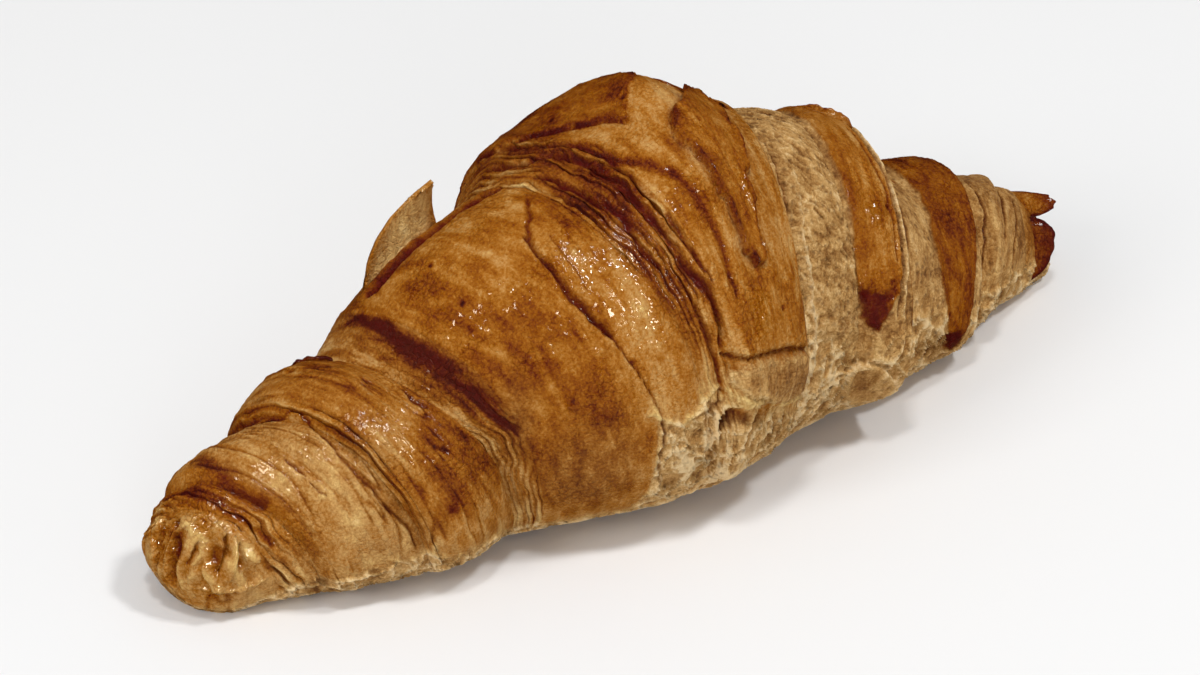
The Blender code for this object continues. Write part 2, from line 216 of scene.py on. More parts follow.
# Creases in the skin: points of X in millimetres and degrees round the roll, half width and depth, which
# is below 0 for a raised ridge. One side lifts like the edge of a thin skin: it is on the left hand along
# the path, or on the right where side is -1. The burnt darkening and lift are 0 unless given. The bake and
# burnt darkening added along a cut are partly scorched crust and partly painted shade in the crease; the
# lifted side is lightened as a painted highlight on its lip.
creases = [
    dict(name="slitTop", width=0.25, depth=0.3, burntAndShade=0.5, bake=0.2, lift=0.15, side=-1,
         path=[(-14.0, 90), (-15.2, 81), (-16.4, 73)]),
    dict(name="slit", width=0.34, depth=0.6, burntAndShade=0.9, bake=0.3, lift=0.25, side=-1,
         path=[(-16.6, 75), (-16.5, 63), (-16.2, 54), (-15.6, 47), (-14.9, 40), (-14.3, 37), (-13.7, 32)]),
    dict(name="slitInner", width=0.14, depth=0.12, burntAndShade=0.3, bake=0.15, lift=0.1, side=-1,
         path=[(-14.9, 72), (-14.8, 64), (-14.6, 56), (-14.4, 48)]),
    dict(name="skinEdge", width=0.14, depth=0.22, burntAndShade=0.6, bake=0.2, lift=0.22, side=-1,
         path=[(-14.2, 36), (-13.7, 32), (-13.1, 26), (-12.5, 21), (-11.7, 15), (-11.1, 8), (-11.0, 3),
               (-11.3, -6), (-10.9, -24)]),
    dict(name="crescent", width=0.95, depth=0.9, burntAndShade=1.4, bake=0.45, lift=0.5,
         path=[(-27.2, 112), (-25.5, 115), (-23.6, 116), (-20.5, 118), (-17.5, 118), (-15.5, 114),
               (-14.0, 106)]),
    dict(name="tear", width=0.2, depth=0.55, burntAndShade=0.95, bake=0.2, lift=0.25,
         path=[(-5.4, 18.5), (-4.1, 16), (-1.7, 13), (0.9, 11), (4.6, 8.5), (5.4, 11)]),
    dict(name="layerLineA", width=0.24, depth=0.4, burntAndShade=0.95, bake=0.2, lift=0.15,
         path=[(-10.9, 136), (-10.6, 121), (-9.8, 106), (-7.9, 94), (-7.1, 88), (-6.9, 79)]),
    dict(name="layerLineB", width=0.26, depth=0.5, burntAndShade=1.0, bake=0.2, lift=0.2,
         path=[(-12.6, 124), (-11.5, 106), (-9.7, 99), (-8.7, 86), (-8.0, 75), (-7.7, 66), (-7.1, 57),
               (-6.6, 45), (-5.6, 37), (-5.3, 28), (-5.2, 19)]),
    dict(name="layerLineC", width=0.24, depth=0.4, burntAndShade=0.9, bake=0.2, lift=0.12,
         path=[(-12.0, 98), (-10.8, 83), (-10.0, 74), (-9.0, 66), (-8.8, 56), (-8.2, 46)]),
    dict(name="tipShade", width=0.55, depth=0.22, burntAndShade=0.2, bake=0.3, lift=0.1,
         path=[(-7.4, 85), (-6.9, 79), (-5.2, 72), (-3.7, 64), (-3.1, 55), (-2.8, 47), (-2.9, 38), (-3.2, 29)]),
    dict(name="tipTop", width=0.24, depth=0.3, burntAndShade=0.45, bake=0.3, lift=0.15,
         path=[(-9.8, 117), (-8.4, 110), (-7.3, 105), (-5.9, 97), (-4.8, 92), (-4.2, 87)]),
    dict(name="nearCrackA", width=0.16, depth=0.22, burntAndShade=0.8, bake=0.2, lift=0.2, side=-1,
         path=[(-40.6, 60), (-40.2, 52), (-39.8, 44)]),
    dict(name="nearCrackB", width=0.12, depth=0.2, burntAndShade=0.6, bake=0.2, lift=0.15, side=-1,
         path=[(-39.7, 40), (-39.4, 36), (-39.0, 31)]),
    dict(name="nearLine", width=0.16, depth=0.22, burntAndShade=0.4, bake=0.25, lift=0.15, side=-1,
         path=[(-38.4, 84), (-37.7, 66), (-37.2, 52), (-36.5, 37), (-35.7, 29), (-34.6, 15), (-33.1, 5),
               (-32.2, -9)]),
    dict(name="capStripeA", width=0.5, depth=0.3, burntAndShade=0.3, bake=0.3, lift=0.15, side=-1,
         path=[(-48.6, 129), (-47.4, 90), (-46.0, 58), (-44.4, 31), (-43.1, 13)]),
    dict(name="capStripeB", width=0.6, depth=0.2, burntAndShade=0.3, bake=0.25, lift=0.1, side=-1,
         path=[(-45.9, 120), (-45.2, 86), (-44.7, 62), (-43.0, 38)]),
    dict(name="groove", width=0.6, depth=0.25, burntAndShade=0.6, bake=0.35,
         path=[(-29.0, 118), (-28.4, 98), (-28.2, 84), (-27.4, 70), (-26.6, 59), (-25.6, 46), (-24.6, 36),
               (-23.4, 24), (-22.3, 15)]),
    dict(name="pawSide", width=0.16, depth=0.3, burntAndShade=0.6, bake=0.2, lift=0.2,
         path=[(5.0, 8), (5.6, 14), (5.4, 22), (5.8, 32), (6.4, 41), (7.2, 50), (7.9, 61), (8.6, 74)]),
    dict(name="layerLineD", width=0.16, depth=0.3, burntAndShade=0.8, bake=0.2, lift=0.1,
         path=[(-7.0, 40), (-6.4, 30), (-6.0, 21), (-5.7, 12), (-5.6, 4)]),
    dict(name="layerLineE", width=0.2, depth=0.3, burntAndShade=0.7, bake=0.25, lift=0.15,
         path=[(-9.2, 104), (-7.9, 90), (-7.2, 76), (-6.6, 62), (-5.9, 50), (-5.0, 36)]),
    dict(name="lipCrevice", width=0.2, depth=0.4, burntAndShade=0.95, bake=0.2,
         path=[(16.4, 10), (17.2, 18), (18.2, 28), (19.1, 42), (20.2, 58), (20.8, 72), (21.5, 90),
               (21.8, 112)]),
    dict(name="lipLine", width=0.13, depth=0.2, burntAndShade=0.8, bake=0.2,
         path=[(17.3, 26), (18.3, 40), (19.3, 56), (19.9, 70), (20.4, 84)]),
    dict(name="lipRidge", width=0.2, depth=-0.25, bake=-0.3,
         path=[(16.9, 9), (17.7, 19), (18.7, 29), (19.6, 43), (20.7, 59), (21.3, 73), (22.0, 92)]),
    dict(name="bandRidge", width=0.2, depth=-0.3, bake=-0.2,
         path=[(9.6, 60), (9.2, 52), (8.2, 45), (7.5, 39), (7.3, 28), (7.0, 19), (7.1, 10), (6.8, 2)]),
    dict(name="doughRidge", width=0.2, depth=-0.4, bake=-0.3,
         path=[(-12.6, 9), (-11.6, 8), (-10.6, 5), (-9.2, 3), (-8.5, 4), (-7.0, 4), (-5.9, 10), (-5.1, 8),
               (-4.6, 6), (-3.2, 3), (-1.9, 1), (-0.4, 0)]),
    dict(name="lobeRidge", width=0.2, depth=-0.35, bake=-0.25,
         path=[(6.2, 9), (6.2, 3), (5.9, -2), (4.6, -5), (1.8, -4), (-0.8, -1)]),
    dict(name="netRidgeA", width=0.16, depth=-0.35, bake=-0.25,
         path=[(-5.5, -9), (-5.8, -4), (-5.7, 1), (-5.0, 4), (-4.0, 3), (-2.5, 1)]),
    dict(name="netRidgeB", width=0.16, depth=-0.35, bake=-0.25,
         path=[(-11.0, -11), (-9.3, -13), (-7.8, -14), (-6.8, -14), (-6.6, -12), (-7.3, -9), (-9.3, -4),
               (-10.9, -2)]),
    dict(name="netRidgeC", width=0.16, depth=-0.35, bake=-0.25,
         path=[(3.4, -15), (4.4, -14), (8.2, -11), (10.8, -9), (12.8, -5), (14.6, -2), (15.4, -5), (14.7, -9),
               (13.6, -17)]),
    dict(name="netRidgeD", width=0.16, depth=-0.3, bake=-0.25,
         path=[(-5.9, -21), (-5.3, -15), (-4.2, -12), (-3.4, -9)]),
    dict(name="hollowA", width=0.3, depth=0.6, burntAndShade=0.5, bake=0.4, lift=0.15, side=-1,
         path=[(-2.5, 1), (-2.4, -3), (-3.4, -7)]),
    dict(name="hollowB", width=0.45, depth=0.5, burntAndShade=0.3, bake=0.35,
         path=[(-5.7, -3), (-4.9, 1), (-3.4, -1)]),
    dict(name="hollowC", width=0.25, depth=0.5, burntAndShade=0.5, bake=0.4,
         path=[(-6.8, 1), (-5.9, 4), (-5.2, 5)]),
    dict(name="capRim", width=0.25, depth=-0.4, bake=-0.16,
         path=[(-49.9, 118), (-49.7, 87), (-49.1, 81), (-48.8, 77), (-48.0, 64), (-47.2, 49), (-46.8, 38)]),
    dict(name="capFoldA", width=0.4, depth=0.5, burntAndShade=0.8, bake=0.3, lift=0.1,
         path=[(-48.9, 66), (-49.3, 59), (-49.7, 50), (-50.1, 42)]),
    dict(name="capFoldB", width=0.22, depth=0.5, burntAndShade=0.5, bake=0.3, lift=0.2,
         path=[(-48.4, 46), (-48.8, 41), (-49.4, 36), (-49.7, 31)]),
    dict(name="capRidgeC", width=0.32, depth=-0.55, bake=-0.1,
         path=[(-47.2, 52), (-47.4, 40), (-47.7, 30), (-48.2, 20)]),
    dict(name="capFoldD", width=0.2, depth=0.5, burntAndShade=0.4, bake=0.3,
         path=[(-46.7, 38), (-47.1, 30), (-47.5, 20), (-48.0, 12)]),
    dict(name="capRidgeE", width=0.3, depth=-0.5, bake=-0.1,
         path=[(-46.2, 34), (-46.5, 22), (-46.8, 14), (-47.3, 5)]),
    dict(name="capFoldF", width=0.18, depth=0.4, burntAndShade=0.3, bake=0.3,
         path=[(-45.7, 26), (-46.0, 18), (-46.3, 8)]),
    dict(name="capRidgeG", width=0.3, depth=-0.4, bake=-0.1,
         path=[(-45.7, 18), (-45.2, 13), (-44.7, 9)]),
    dict(name="capLow", width=0.2, depth=-0.35, bake=-0.12,
         path=[(-49.6, 2), (-48.1, -1), (-46.8, -3), (-45.3, -5), (-44.2, -4)]),
    dict(name="farLineA", width=0.18, depth=0.35, burntAndShade=0.3, bake=0.4, lift=0.3,
         path=[(36.0, 4), (37.6, 24), (39.6, 46), (41.4, 68), (42.2, 90), (42.3, 120)]),
    dict(name="farLineB", width=0.18, depth=0.35, burntAndShade=0.3, bake=0.4, lift=0.3,
         path=[(38.4, 0), (40.0, 24), (41.8, 46), (43.2, 68), (43.8, 92)]),
    dict(name="farLineC", width=0.16, depth=0.35, burntAndShade=0.35, bake=0.4, lift=0.25,
         path=[(32.6, 8), (34.2, 28), (36.0, 48), (37.0, 68), (37.4, 92)]),
    dict(name="farLineD", width=0.16, depth=0.3, burntAndShade=0.2, bake=0.35, lift=0.2,
         path=[(20.6, 16), (22.2, 34), (23.8, 52), (24.8, 70), (25.4, 92)]),
    dict(name="bigNick", width=0.22, depth=0.35, burntAndShade=0.8, bake=0.2, lift=0.15, side=-1,
         path=[(-29.8, 62), (-29.3, 55), (-28.6, 49)]),
]

# Thin skins and scorched spots that lie on the roll: outline in the same coordinates, thickness, bake inside
# and what its rim adds, the gap beside it, sunk a little and painted dark as the skin's shadow, and how far
# its edge wanders. Blur softens the edge and calm quiets the fine relief.
skins = [
    dict(name="topSkin", thick=0.16, bake=0.74, rim=0.12, gap=0.35, wander=0.8,
         outline=[(-9.8, 118), (-8.4, 110), (-7.3, 105), (-5.9, 97), (-4.8, 92), (-4.2, 87), (-3.2, 90),
                  (-2.4, 94), (-1.4, 97), (0.2, 104), (0.8, 125), (-4, 150), (-12, 150)]),
    dict(name="ragFlake", thick=0.5, bake=0.6, rim=0.3, gap=1.2, wander=0.8,
         outline=[(3.3, 93), (1.5, 83), (-0.6, 78), (-2.3, 75), (-1.9, 72), (-1.4, 67), (-1.1, 62), (-0.8, 55),
                  (-0.7, 49), (-0.5, 44), (-0.5, 38), (-0.4, 33), (0.5, 33), (1.0, 37), (1.5, 43), (2.0, 49),
                  (2.8, 56), (4.2, 64), (4.9, 72), (5.3, 82), (5.1, 93)]),
    dict(name="paw", thick=0.08, bake=0.6, rim=-0.05, wander=2.2, blur=0.6,
         outline=[(-4.6, 17), (-1.7, 13.5), (0.9, 11.5), (4.4, 9), (5.0, 14), (4.4, 22), (3.2, 28), (1.0, 30),
                  (-1.6, 31), (-4.0, 27)]),
    dict(name="stripA", thick=0.14, bake=0.6, rim=0.08, gap=0.25, wander=0.4,
         outline=[(16.5, 82), (15.6, 67), (14.7, 49), (13.5, 32), (13.0, 21), (13.4, 15), (13.7, 9),
                  (14.2, 6.5), (15.0, 9), (15.8, 13), (17.0, 18), (18.0, 28), (19.0, 42), (20.2, 58),
                  (20.7, 72), (21.2, 90), (21.4, 120), (21.6, 150), (21.2, 178), (20.0, 196), (18.8, 178),
                  (17.6, 150), (17.0, 120), (16.8, 100)]),
    dict(name="stripAEnd", thick=-0.12, bake=0.9, wander=0.9, burntAndShade=0.9, blur=0.3,
         outline=[(13.1, 18), (13.4, 12), (13.8, 8), (14.2, 5.5), (14.8, 8.5), (15.4, 12.5), (16.9, 19.5),
                  (15.4, 16.5), (14.4, 18.5)]),
    dict(name="stripB", thick=0.14, bake=0.71, rim=0.05, gap=0.25, wander=0.4,
         outline=[(29.3, 88), (28.9, 69), (27.7, 51), (26.8, 34), (26.4, 13), (26.9, -1), (27.4, -20),
                  (28.1, -22), (28.7, -9), (29.9, 4), (31.4, 23), (32.6, 35), (33.8, 50), (34.6, 64),
                  (35.2, 90), (35.4, 130), (34.8, 160), (33.0, 178), (31.4, 160), (30.2, 130)]),
    dict(name="stripBEnd", thick=-0.1, bake=1.0, wander=0.9, burntAndShade=0.95, blur=0.35,
         outline=[(26.6, -6), (27.0, -14), (27.4, -25), (28.2, -23), (28.8, -9), (28.0, -4)]),
    dict(name="lobe", thick=0.28, bake=0.44, rim=-0.22, gap=0.55, wander=0.5, dough=0.8, calm=0.3,
         outline=[(-5.2, 14), (-4.1, 13.5), (-1.7, 11), (0.9, 9), (4.4, 7), (5.4, 8), (6.0, 4), (4.8, -4),
                  (0.4, -2), (-3.6, 5), (-5.3, 11)]),
    dict(name="disc", thick=0.5, bake=0.44, rim=-0.24, gap=0.8, wander=0.3, dough=0.9, calm=1.0,
         outline=[(11.6, -8), (12.8, -4.5), (14.4, -5), (15.8, -10), (16.2, -18), (15.2, -25), (13.2, -26),
                  (11.8, -20)]),
    dict(name="smoothDough", thick=0.15, bake=0.36, rim=-0.14, gap=0.4, wander=0.5, dough=0.8, calm=0.8,
         outline=[(11.4, 9), (13.2, 6), (14.8, 3), (15.4, -3), (13.6, -3), (11.8, -1), (10.6, 3)]),
]

# Soft patches: centre, half sizes in millimetres along and degrees round, then what they add
patches = [
    dict(at=(-17.5, 18), size=(5.5, 24), bake=0.07),
    dict(at=(-36.0, 20), size=(6.0, 30), bake=-0.05),
    dict(at=(-18.5, 50), size=(3.5, 26), bake=0.06),
    dict(at=(-24.0, 40), size=(2.5, 24), bake=0.05),
    dict(at=(-17.0, -6), size=(5.5, 18), dough=0.45, bake=-0.03),
    dict(at=(-21.0, 96), size=(5.0, 22), bake=-0.10),
    dict(at=(-35.6, 76), size=(2.8, 34), bake=0.15),
    dict(at=(-33.5, 96), size=(3.0, 20), bake=0.08),
    dict(at=(-30.5, 24), size=(3.2, 22), bake=0.19),
    dict(at=(-28.0, 12), size=(2.6, 8), bake=0.12),
    dict(at=(-29.6, 9), size=(0.9, 3.5), bake=0.25, burntAndShade=0.45),
    dict(at=(-34.0, 44), size=(2.4, 16), gloss=0.5, bake=-0.10, dough=0.3),
    dict(at=(-38.5, 55), size=(0.8, 20), gloss=0.6),
    dict(at=(-42.0, 58), size=(2.6, 20), gloss=0.45),
    dict(at=(-31.0, 46), size=(2.0, 14), gloss=0.5),
    dict(at=(-9.6, 38), size=(3.0, 16), bake=-0.11, gloss=0.4),
    dict(at=(-12.0, 20), size=(2.4, 12), bake=-0.06),
    dict(at=(-12.6, 80), size=(3.0, 14), bake=0.08),
    dict(at=(-26.0, 88), size=(4.0, 26), bake=0.06),
    dict(at=(-14.0, 57), size=(1.0, 7), gloss=1.4),
    dict(at=(-10.0, 57), size=(0.8, 7), gloss=1.6, burntAndShade=0.2),
    dict(at=(-1.0, 84), size=(2.2, 9), bake=-0.10),
    dict(at=(-5.0, 55), size=(1.6, 22), bake=0.04),
    dict(at=(-9.5, 92), size=(3.2, 22), bake=0.16, burntAndShade=0.12),
    dict(at=(-8.6, 58), size=(1.8, 26), bake=0.14, burntAndShade=0.14),
    dict(at=(-42.5, -4), size=(4.5, 18), bake=-0.08, dough=0.35),
    dict(at=(-48.0, 30), size=(2.5, 40), bake=0.05, gloss=0.6),
    dict(at=(-36.0, 30), size=(2.0, 16), dough=0.3),
    dict(at=(-22.5, 18), size=(1.6, 18), dough=0.4),
    dict(at=(-34.5, -4), size=(5.0, 14), bake=0.05, dough=0.45),
    dict(at=(4.4, 44), size=(1.6, 34), bake=0.03),
    dict(at=(9.5, 14), size=(3.0, 14), bake=0.08),
    dict(at=(-0.6, 22), size=(1.8, 5), gloss=1.6, bake=-0.05),
    dict(at=(1.6, 46), size=(0.4, 14), gloss=1.2),
    dict(at=(16.4, 44), size=(1.2, 7), gloss=1.3),
    dict(at=(14.5, 19), size=(1.4, 5), gloss=0.8),
    dict(at=(14.6, 24), size=(1.8, 8), bake=0.12),
    dict(at=(30.6, 30), size=(2.4, 24), bake=0.10),
    dict(at=(-47.8, 30), size=(1.0, 14), gloss=1.2, bake=-0.08),
    dict(at=(-45.8, 14), size=(1.2, 12), gloss=1.2, bake=-0.06),
    dict(at=(-49.6, 70), size=(1.2, 20), bake=0.18, burntAndShade=0.1),
    dict(at=(-46.0, -18), size=(2.4, 14), bake=-0.14, dough=0.5),
]

# Below this angle on the front flank the skin turns to pale wrinkled dough
doughEdge = [(-52, -45), (-46, -30), (-40, -14), (-33, -12), (-26, -18), (-22, -34), (-12.2, -38), (-11.5, 6),
             (-8.4, 5), (-6.2, 9), (-4.6, 4), (-1, -4), (4, -6), (6, 10), (12, 6), (50, 4)]


def ringScale(x):  # millimetres round the roll for each degree
    return np.maximum(alongStations(x, roll["halfWidths"]), 4.0) * math.pi / 180


# Nearest point of a path in the unrolled skin: distance, share of the way along, and which hand it is on
def pathDistance(x, degrees, path, closed=False):
    points = np.array(path + path[:1] if closed else path, float)
    scale = ringScale(x)
    lengths = np.hypot(np.diff(points[:, 0]), np.diff(points[:, 1]) * 0.28)
    travelled = np.concatenate([[0], np.cumsum(lengths)]) / lengths.sum()
    best = np.full(x.shape, 1e9)
    where = np.zeros(x.shape)
    hand = np.ones(x.shape)
    inside = np.zeros(x.shape, bool)
    for number in range(len(points) - 1):
        (startX, startD), (endX, endD) = points[number], points[number + 1]
        runX, runD = endX - startX, (endD - startD) * scale
        offX, offD = x - startX, (degrees - startD) * scale
        share = np.clip((offX * runX + offD * runD) / (runX**2 + runD**2 + 1e-9), 0, 1)
        distance = np.hypot(offX - runX * share, offD - runD * share)
        closer = distance < best
        best = np.where(closer, distance, best)
        where = np.where(closer, travelled[number] * (1 - share) + travelled[number + 1] * share, where)
        hand = np.where(closer, np.sign(runX * offD - runD * offX), hand)
        if closed:
            crosses = (degrees >= min(startD, endD)) & (degrees < max(startD, endD))
            meet = startX + (degrees - startD) / (endD - startD + 1e-9) * (endX - startX)
            inside ^= crosses & (x < meet)
    if closed:
        hand = np.where(inside, 1.0, -1.0)
    return best, where, hand


# Stacked sheets on the face of a wrap, u = share of one sheet: a dark gap at 0, the sheet's edge at 0.40,
# then its top sinking back to the next gap; each edge also leans over the gap before it
def sheetProfile(place, spacing, strength):
    u = place - np.floor(place)
    gap = (1 - smoothStep(u, 0.06, 0.34)) + smoothStep(u, 0.80, 1.0)
    edge = np.exp(-(((u - 0.40) / 0.13) ** 2))
    depth = np.minimum(0.42, 0.65 * spacing) * strength
    lean = np.minimum(0.20, 0.30 * spacing) * strength
    return -depth * gap + 0.12 * depth * edge, -lean * edge, gap, edge


# Heights of the fine relief in millimetres
relief = dict(
    swellFullness=0.7,  # lower is a flatter top with steeper sides
    hair=0.10,
    skinWaves=0.12,
    streaks=0.07,
    doughStreaks=0.05,
    thinLines=0.15,
    ridges=0.10,
    pits=0.12,
    blisters=0.10,
    net=0.36,
    hollows=0.22,
    folds=0.22,
    doughRough=0.10,
    fibres=0.17,
    capCrinkle=0.45,
    capLean=0.9,
)

# The rolled-down end of the outermost wrap: where it rises and falls along the roll and round it
crownPad = dict(height=1.0, rise=(-5.4, -3.4), fall=(3.6, 5.4), lower=(-6, 4), upper=(13, 43))

# Bell-shaped swells of the crest: its peak, and the dip behind it
crownSwells = (
    dict(height=0.75, at=(-1.4, 97), size=(1.8, 10)),
    dict(height=-0.6, at=(-8.5, 108), size=(3.2, 16)),
)


# What is known of the skin at each grid point gathers in one namespace: its place, how far it stands proud
# of the plain roll and leans along it in millimetres, and its bake, burnt darkening with painted shade,
# dough and gloss, 0 to 1.
# To begin with, the lines' heights are blended between them, with a swell arching over each stretch.
def plainSurface(index, share, x, degrees, ringX):
    keys = ("height", "swell", "dough", "layers")
    columns = {key: np.array([line.get(key, 0.0) for line in lines], float) for key in keys}
    bakes = np.array([line["bake"] for line in lines])
    middles = np.array([np.mean(line["at"]) for line in lines])
    s = SimpleNamespace(index=index, share=share, x=x, degrees=degrees, angle=np.radians(degrees))
    s.base = ringPoint(x, s.angle, 0.0 * x)
    s.across = middles[index] * (1 - share) + middles[index + 1] * share
    s.flow = np.stack([s.across, s.base[..., 1] * 0.3, s.base[..., 2] * 0.3], -1)
    s.rise = columns["height"][index + 1] - columns["height"][index]
    bulge = columns["swell"][index] * np.maximum(4 * share * (1 - share), 0) ** relief["swellFullness"]
    s.proud = (columns["height"][index] + s.rise * share + bulge) * pressedShare(s.angle) + unevenness(x, s.angle)
    s.lean = np.zeros(x.shape)
    s.bake = bakes[index, 0] * (1 - share) + bakes[index, 1] * share
    s.burntAndShade = np.zeros(x.shape)
    s.gloss = np.zeros(x.shape)
    s.dough = columns["dough"][index] + np.zeros(x.shape)
    s.layers = columns["layers"][index]
    width = np.take_along_axis(ringX, index + 1, 0) - np.take_along_axis(ringX, index, 0)
    s.spacing = np.hypot(width, s.rise) / np.maximum(s.layers, 1)
    return s


def paleFlanks(s):  # pale dough low on both flanks and on the underside
    s.mirrored = np.where(s.degrees > 90, 180 - s.degrees, s.degrees)
    edgeAngle = np.interp(s.x, *np.array(doughEdge).T)
    edgeAngle = np.where(s.degrees > 90, np.minimum(edgeAngle, -10), edgeAngle)
    ragged = 3.5 * valueNoise(s.base, 2.2, 40) + 1.5 * valueNoise(s.base, 0.8, 41)
    s.low = 1 - smoothStep(s.mirrored + ragged, edgeAngle - 2.5, edgeAngle + 2.5)
    fading = 1 - smoothStep(s.mirrored, edgeAngle, edgeAngle + 30)
    s.bake = s.bake * (1 - 0.2 * fading)
    s.dough = np.maximum(s.dough, s.low)
    s.bake = s.bake * (1 - s.low) + 0.29 * s.low
    under = smoothStep(-np.sin(s.angle), 0.75, 0.95)
    s.bake = s.bake * (1 - under) + 0.5 * under
    s.clear = 1 - s.low


# The layered faces: stacked sheets between two lines, wavering along the wrap, each sheet with a
# strength of its own, and fine hairs between them; the gaps between sheets are painted dark as shade
def layeredFaces(s):
    waver = 1.7 * valueNoise(s.base * np.array((0.3, 1, 1)), 7.0, 60)
    waver = waver + 0.8 * valueNoise(s.base * np.array((0.5, 1, 1)), 2.4, 61)
    waver = waver + 0.3 * valueNoise(s.base, 0.9, 63)
    place = s.share * s.layers + waver * np.minimum(s.layers, 4) / 4
    sheet = np.floor(place)
    own = np.stack([sheet * 7.3 + s.index * 3.1, s.base[..., 1] / 4.5, s.base[..., 2] / 4.5], -1)
    shown = np.clip(6 * s.share * (1 - s.share) * 4, 0, 1) * (s.layers > 1)
    strength = np.clip(0.55 + 1.1 * valueNoise(own, 1.0, 62), 0.08, 1.3) * shown
    soft = np.where(s.index == lineIndex["middleFoot"], 0.45 + 0.4 * smoothStep(s.mirrored, 15, 45), 0.0)
    soft = np.maximum(soft, np.where(s.index == lineIndex["nearRim"], 0.35, 0.0))
    strength = strength * (1 - soft)
    upper = 0.28 + 0.72 * smoothStep(s.mirrored, 18, 60)
    strength = strength * np.where(s.index == lineIndex["tipFoot"], upper, 1.0)
    lift, slide, gap, edge = sheetProfile(place, s.spacing, strength)
    s.proud = s.proud + lift * pressedShare(s.angle)
    s.lean = s.lean + slide * pressedShare(s.angle)
    mark = shown * np.clip(strength, 0, 1)
    # Painted shade in the gaps between the sheets, added to the burnt darkening
    paintedGapShade = 0.8 * np.clip(gap, 0, 1) ** 1.3 * mark * (0.5 + 0.5 * upper)
    s.burntAndShade = s.burntAndShade + paintedGapShade * (1 - 0.8 * s.low) / np.maximum(upper, 0.6)
    hairPlace = np.stack([(s.share * s.layers + waver * 0.5) * 0.8, s.base[..., 1] / 9, s.base[..., 2] / 9], -1)
    hair = fractalNoise(hairPlace, 0.5, 66, 2) * shown
    s.proud = s.proud + relief["hair"] * hair
    # The gaps between sheets are also painted darker as shade, the sheet edges lighter
    s.bake = s.bake + (0.16 * gap - 0.24 * edge) * mark + 0.30 * hair


def laySkins(s):  # each skin covers what lies under it, with an edge made jagged by noise in its place
    s.jagX = s.x + 0.6 * valueNoise(s.base, 1.3, 81) + 0.3 * valueNoise(s.base, 0.5, 82)
    s.jagD = s.degrees + (0.6 * valueNoise(s.base, 1.3, 83) + 0.3 * valueNoise(s.base, 0.5, 84)) / ringScale(s.x)
    s.calm = np.zeros(s.x.shape)
    for skin in skins:
        wander = skin["wander"]
        reach = [p[0] for p in skin["outline"]]
        if s.x.min() > max(reach) + 3 or s.x.max() < min(reach) - 3:
            continue
        movedX, movedD = s.x + (s.jagX - s.x) * wander, s.degrees + (s.jagD - s.degrees) * wander
        distance, _, hand = pathDistance(movedX, movedD, skin["outline"], closed=True)
        within = distance * hand
        blur = skin.get("blur", 0.12)
        amount = smoothStep(within, -blur, blur)
        s.proud = s.proud + skin["thick"] * amount * (1 + 0.7 * np.exp(-np.abs(within) / 0.5))
        # Beside the edge the gap is sunk a little and painted dark as the shadow of the skin
        outside = np.exp(np.minimum(within, 0) / 0.3) * (1 - amount)
        gap = skin.get("gap", 0.0)
        s.proud = s.proud - 0.2 * gap * outside
        s.burntAndShade = s.burntAndShade * (1 - amount) + gap * outside * s.clear + skin.get("burntAndShade", 0.0) * amount
        rim = skin.get("rim", 0.0) * np.exp(-np.abs(within) / 0.45)
        s.bake = s.bake * (1 - amount) + (skin["bake"] + rim) * amount
        s.dough = s.dough * (1 - amount) + skin.get("dough", 0.0) * amount
        s.low = s.low * (1 - amount)
        s.calm = np.maximum(s.calm, skin.get("calm", 0.0) * amount)


def addPatches(s):  # round soft spots, falling off like a bell curve
    for patch in patches:
        (middleX, middleD), (sizeX, sizeD) = patch["at"], patch["size"]
        away = ((s.x - middleX) / sizeX) ** 2 + ((s.degrees - middleD) / sizeD) ** 2
        amount = np.exp(-away * 1.2)
        s.bake = s.bake + patch.get("bake", 0.0) * amount * s.clear
        s.burntAndShade = s.burntAndShade + patch.get("burntAndShade", 0.0) * amount * s.clear
        s.gloss = s.gloss + patch.get("gloss", 0.0) * amount * s.clear
        s.dough = np.maximum(s.dough, patch.get("dough", 0.0) * amount)


def cutCreases(s):  # a bell-shaped cut or ridge along each path, and one lifted side
    for crease in creases:
        reach = [p[0] for p in crease["path"]]
        if s.x.min() > max(reach) + 3 or s.x.max() < min(reach) - 3:
            continue
        movedX, movedD = s.x + (s.jagX - s.x) * 0.3, s.degrees + (s.jagD - s.degrees) * 0.3
        distance, where, hand = pathDistance(movedX, movedD, crease["path"])
        taper = np.clip(4 * where * (1 - where), 0.0, 1.0) ** 0.6
        wide = crease["width"] * (0.3 + 0.7 * taper) * (1 + 0.35 * valueNoise(s.base, 1.8, 90))
        cut = np.exp(-((distance / wide) ** 2)) * smoothStep(taper, 0.0, 0.25)
        raised = np.exp(-distance / 0.9) * smoothStep(taper, 0.0, 0.4) * (hand * crease.get("side", 1) > 0)
        s.proud = s.proud + crease.get("lift", 0.0) * raised * (1 - cut) - crease["depth"] * cut
        # Darker along the cut, partly scorched crust and partly painted shade; the lifted side lighter as a painted
        # highlight
        s.bake = s.bake + crease["bake"] * cut - 0.10 * raised * (1 - cut)
        s.burntAndShade = s.burntAndShade * (1 - 0.5 * raised) + crease.get("burntAndShade", 0.0) * cut


def shapeCrown(s):  # the rolled-down end of the outermost wrap, the peak of the crest and the dip behind it
    pad = smoothStep(s.x, *crownPad["rise"]) * (1 - smoothStep(s.x, *crownPad["fall"]))
    pad = pad * smoothStep(s.degrees, *crownPad["lower"]) * (1 - smoothStep(s.degrees, *crownPad["upper"]))
    s.proud = s.proud + crownPad["height"] * pad
    for swell in crownSwells:
        (middleX, middleD), (sizeX, sizeD) = swell["at"], swell["size"]
        bell = np.exp(-(((s.x - middleX) / sizeX) ** 2) - ((s.degrees - middleD) / sizeD) ** 2)
        s.proud = s.proud + swell["height"] * bell


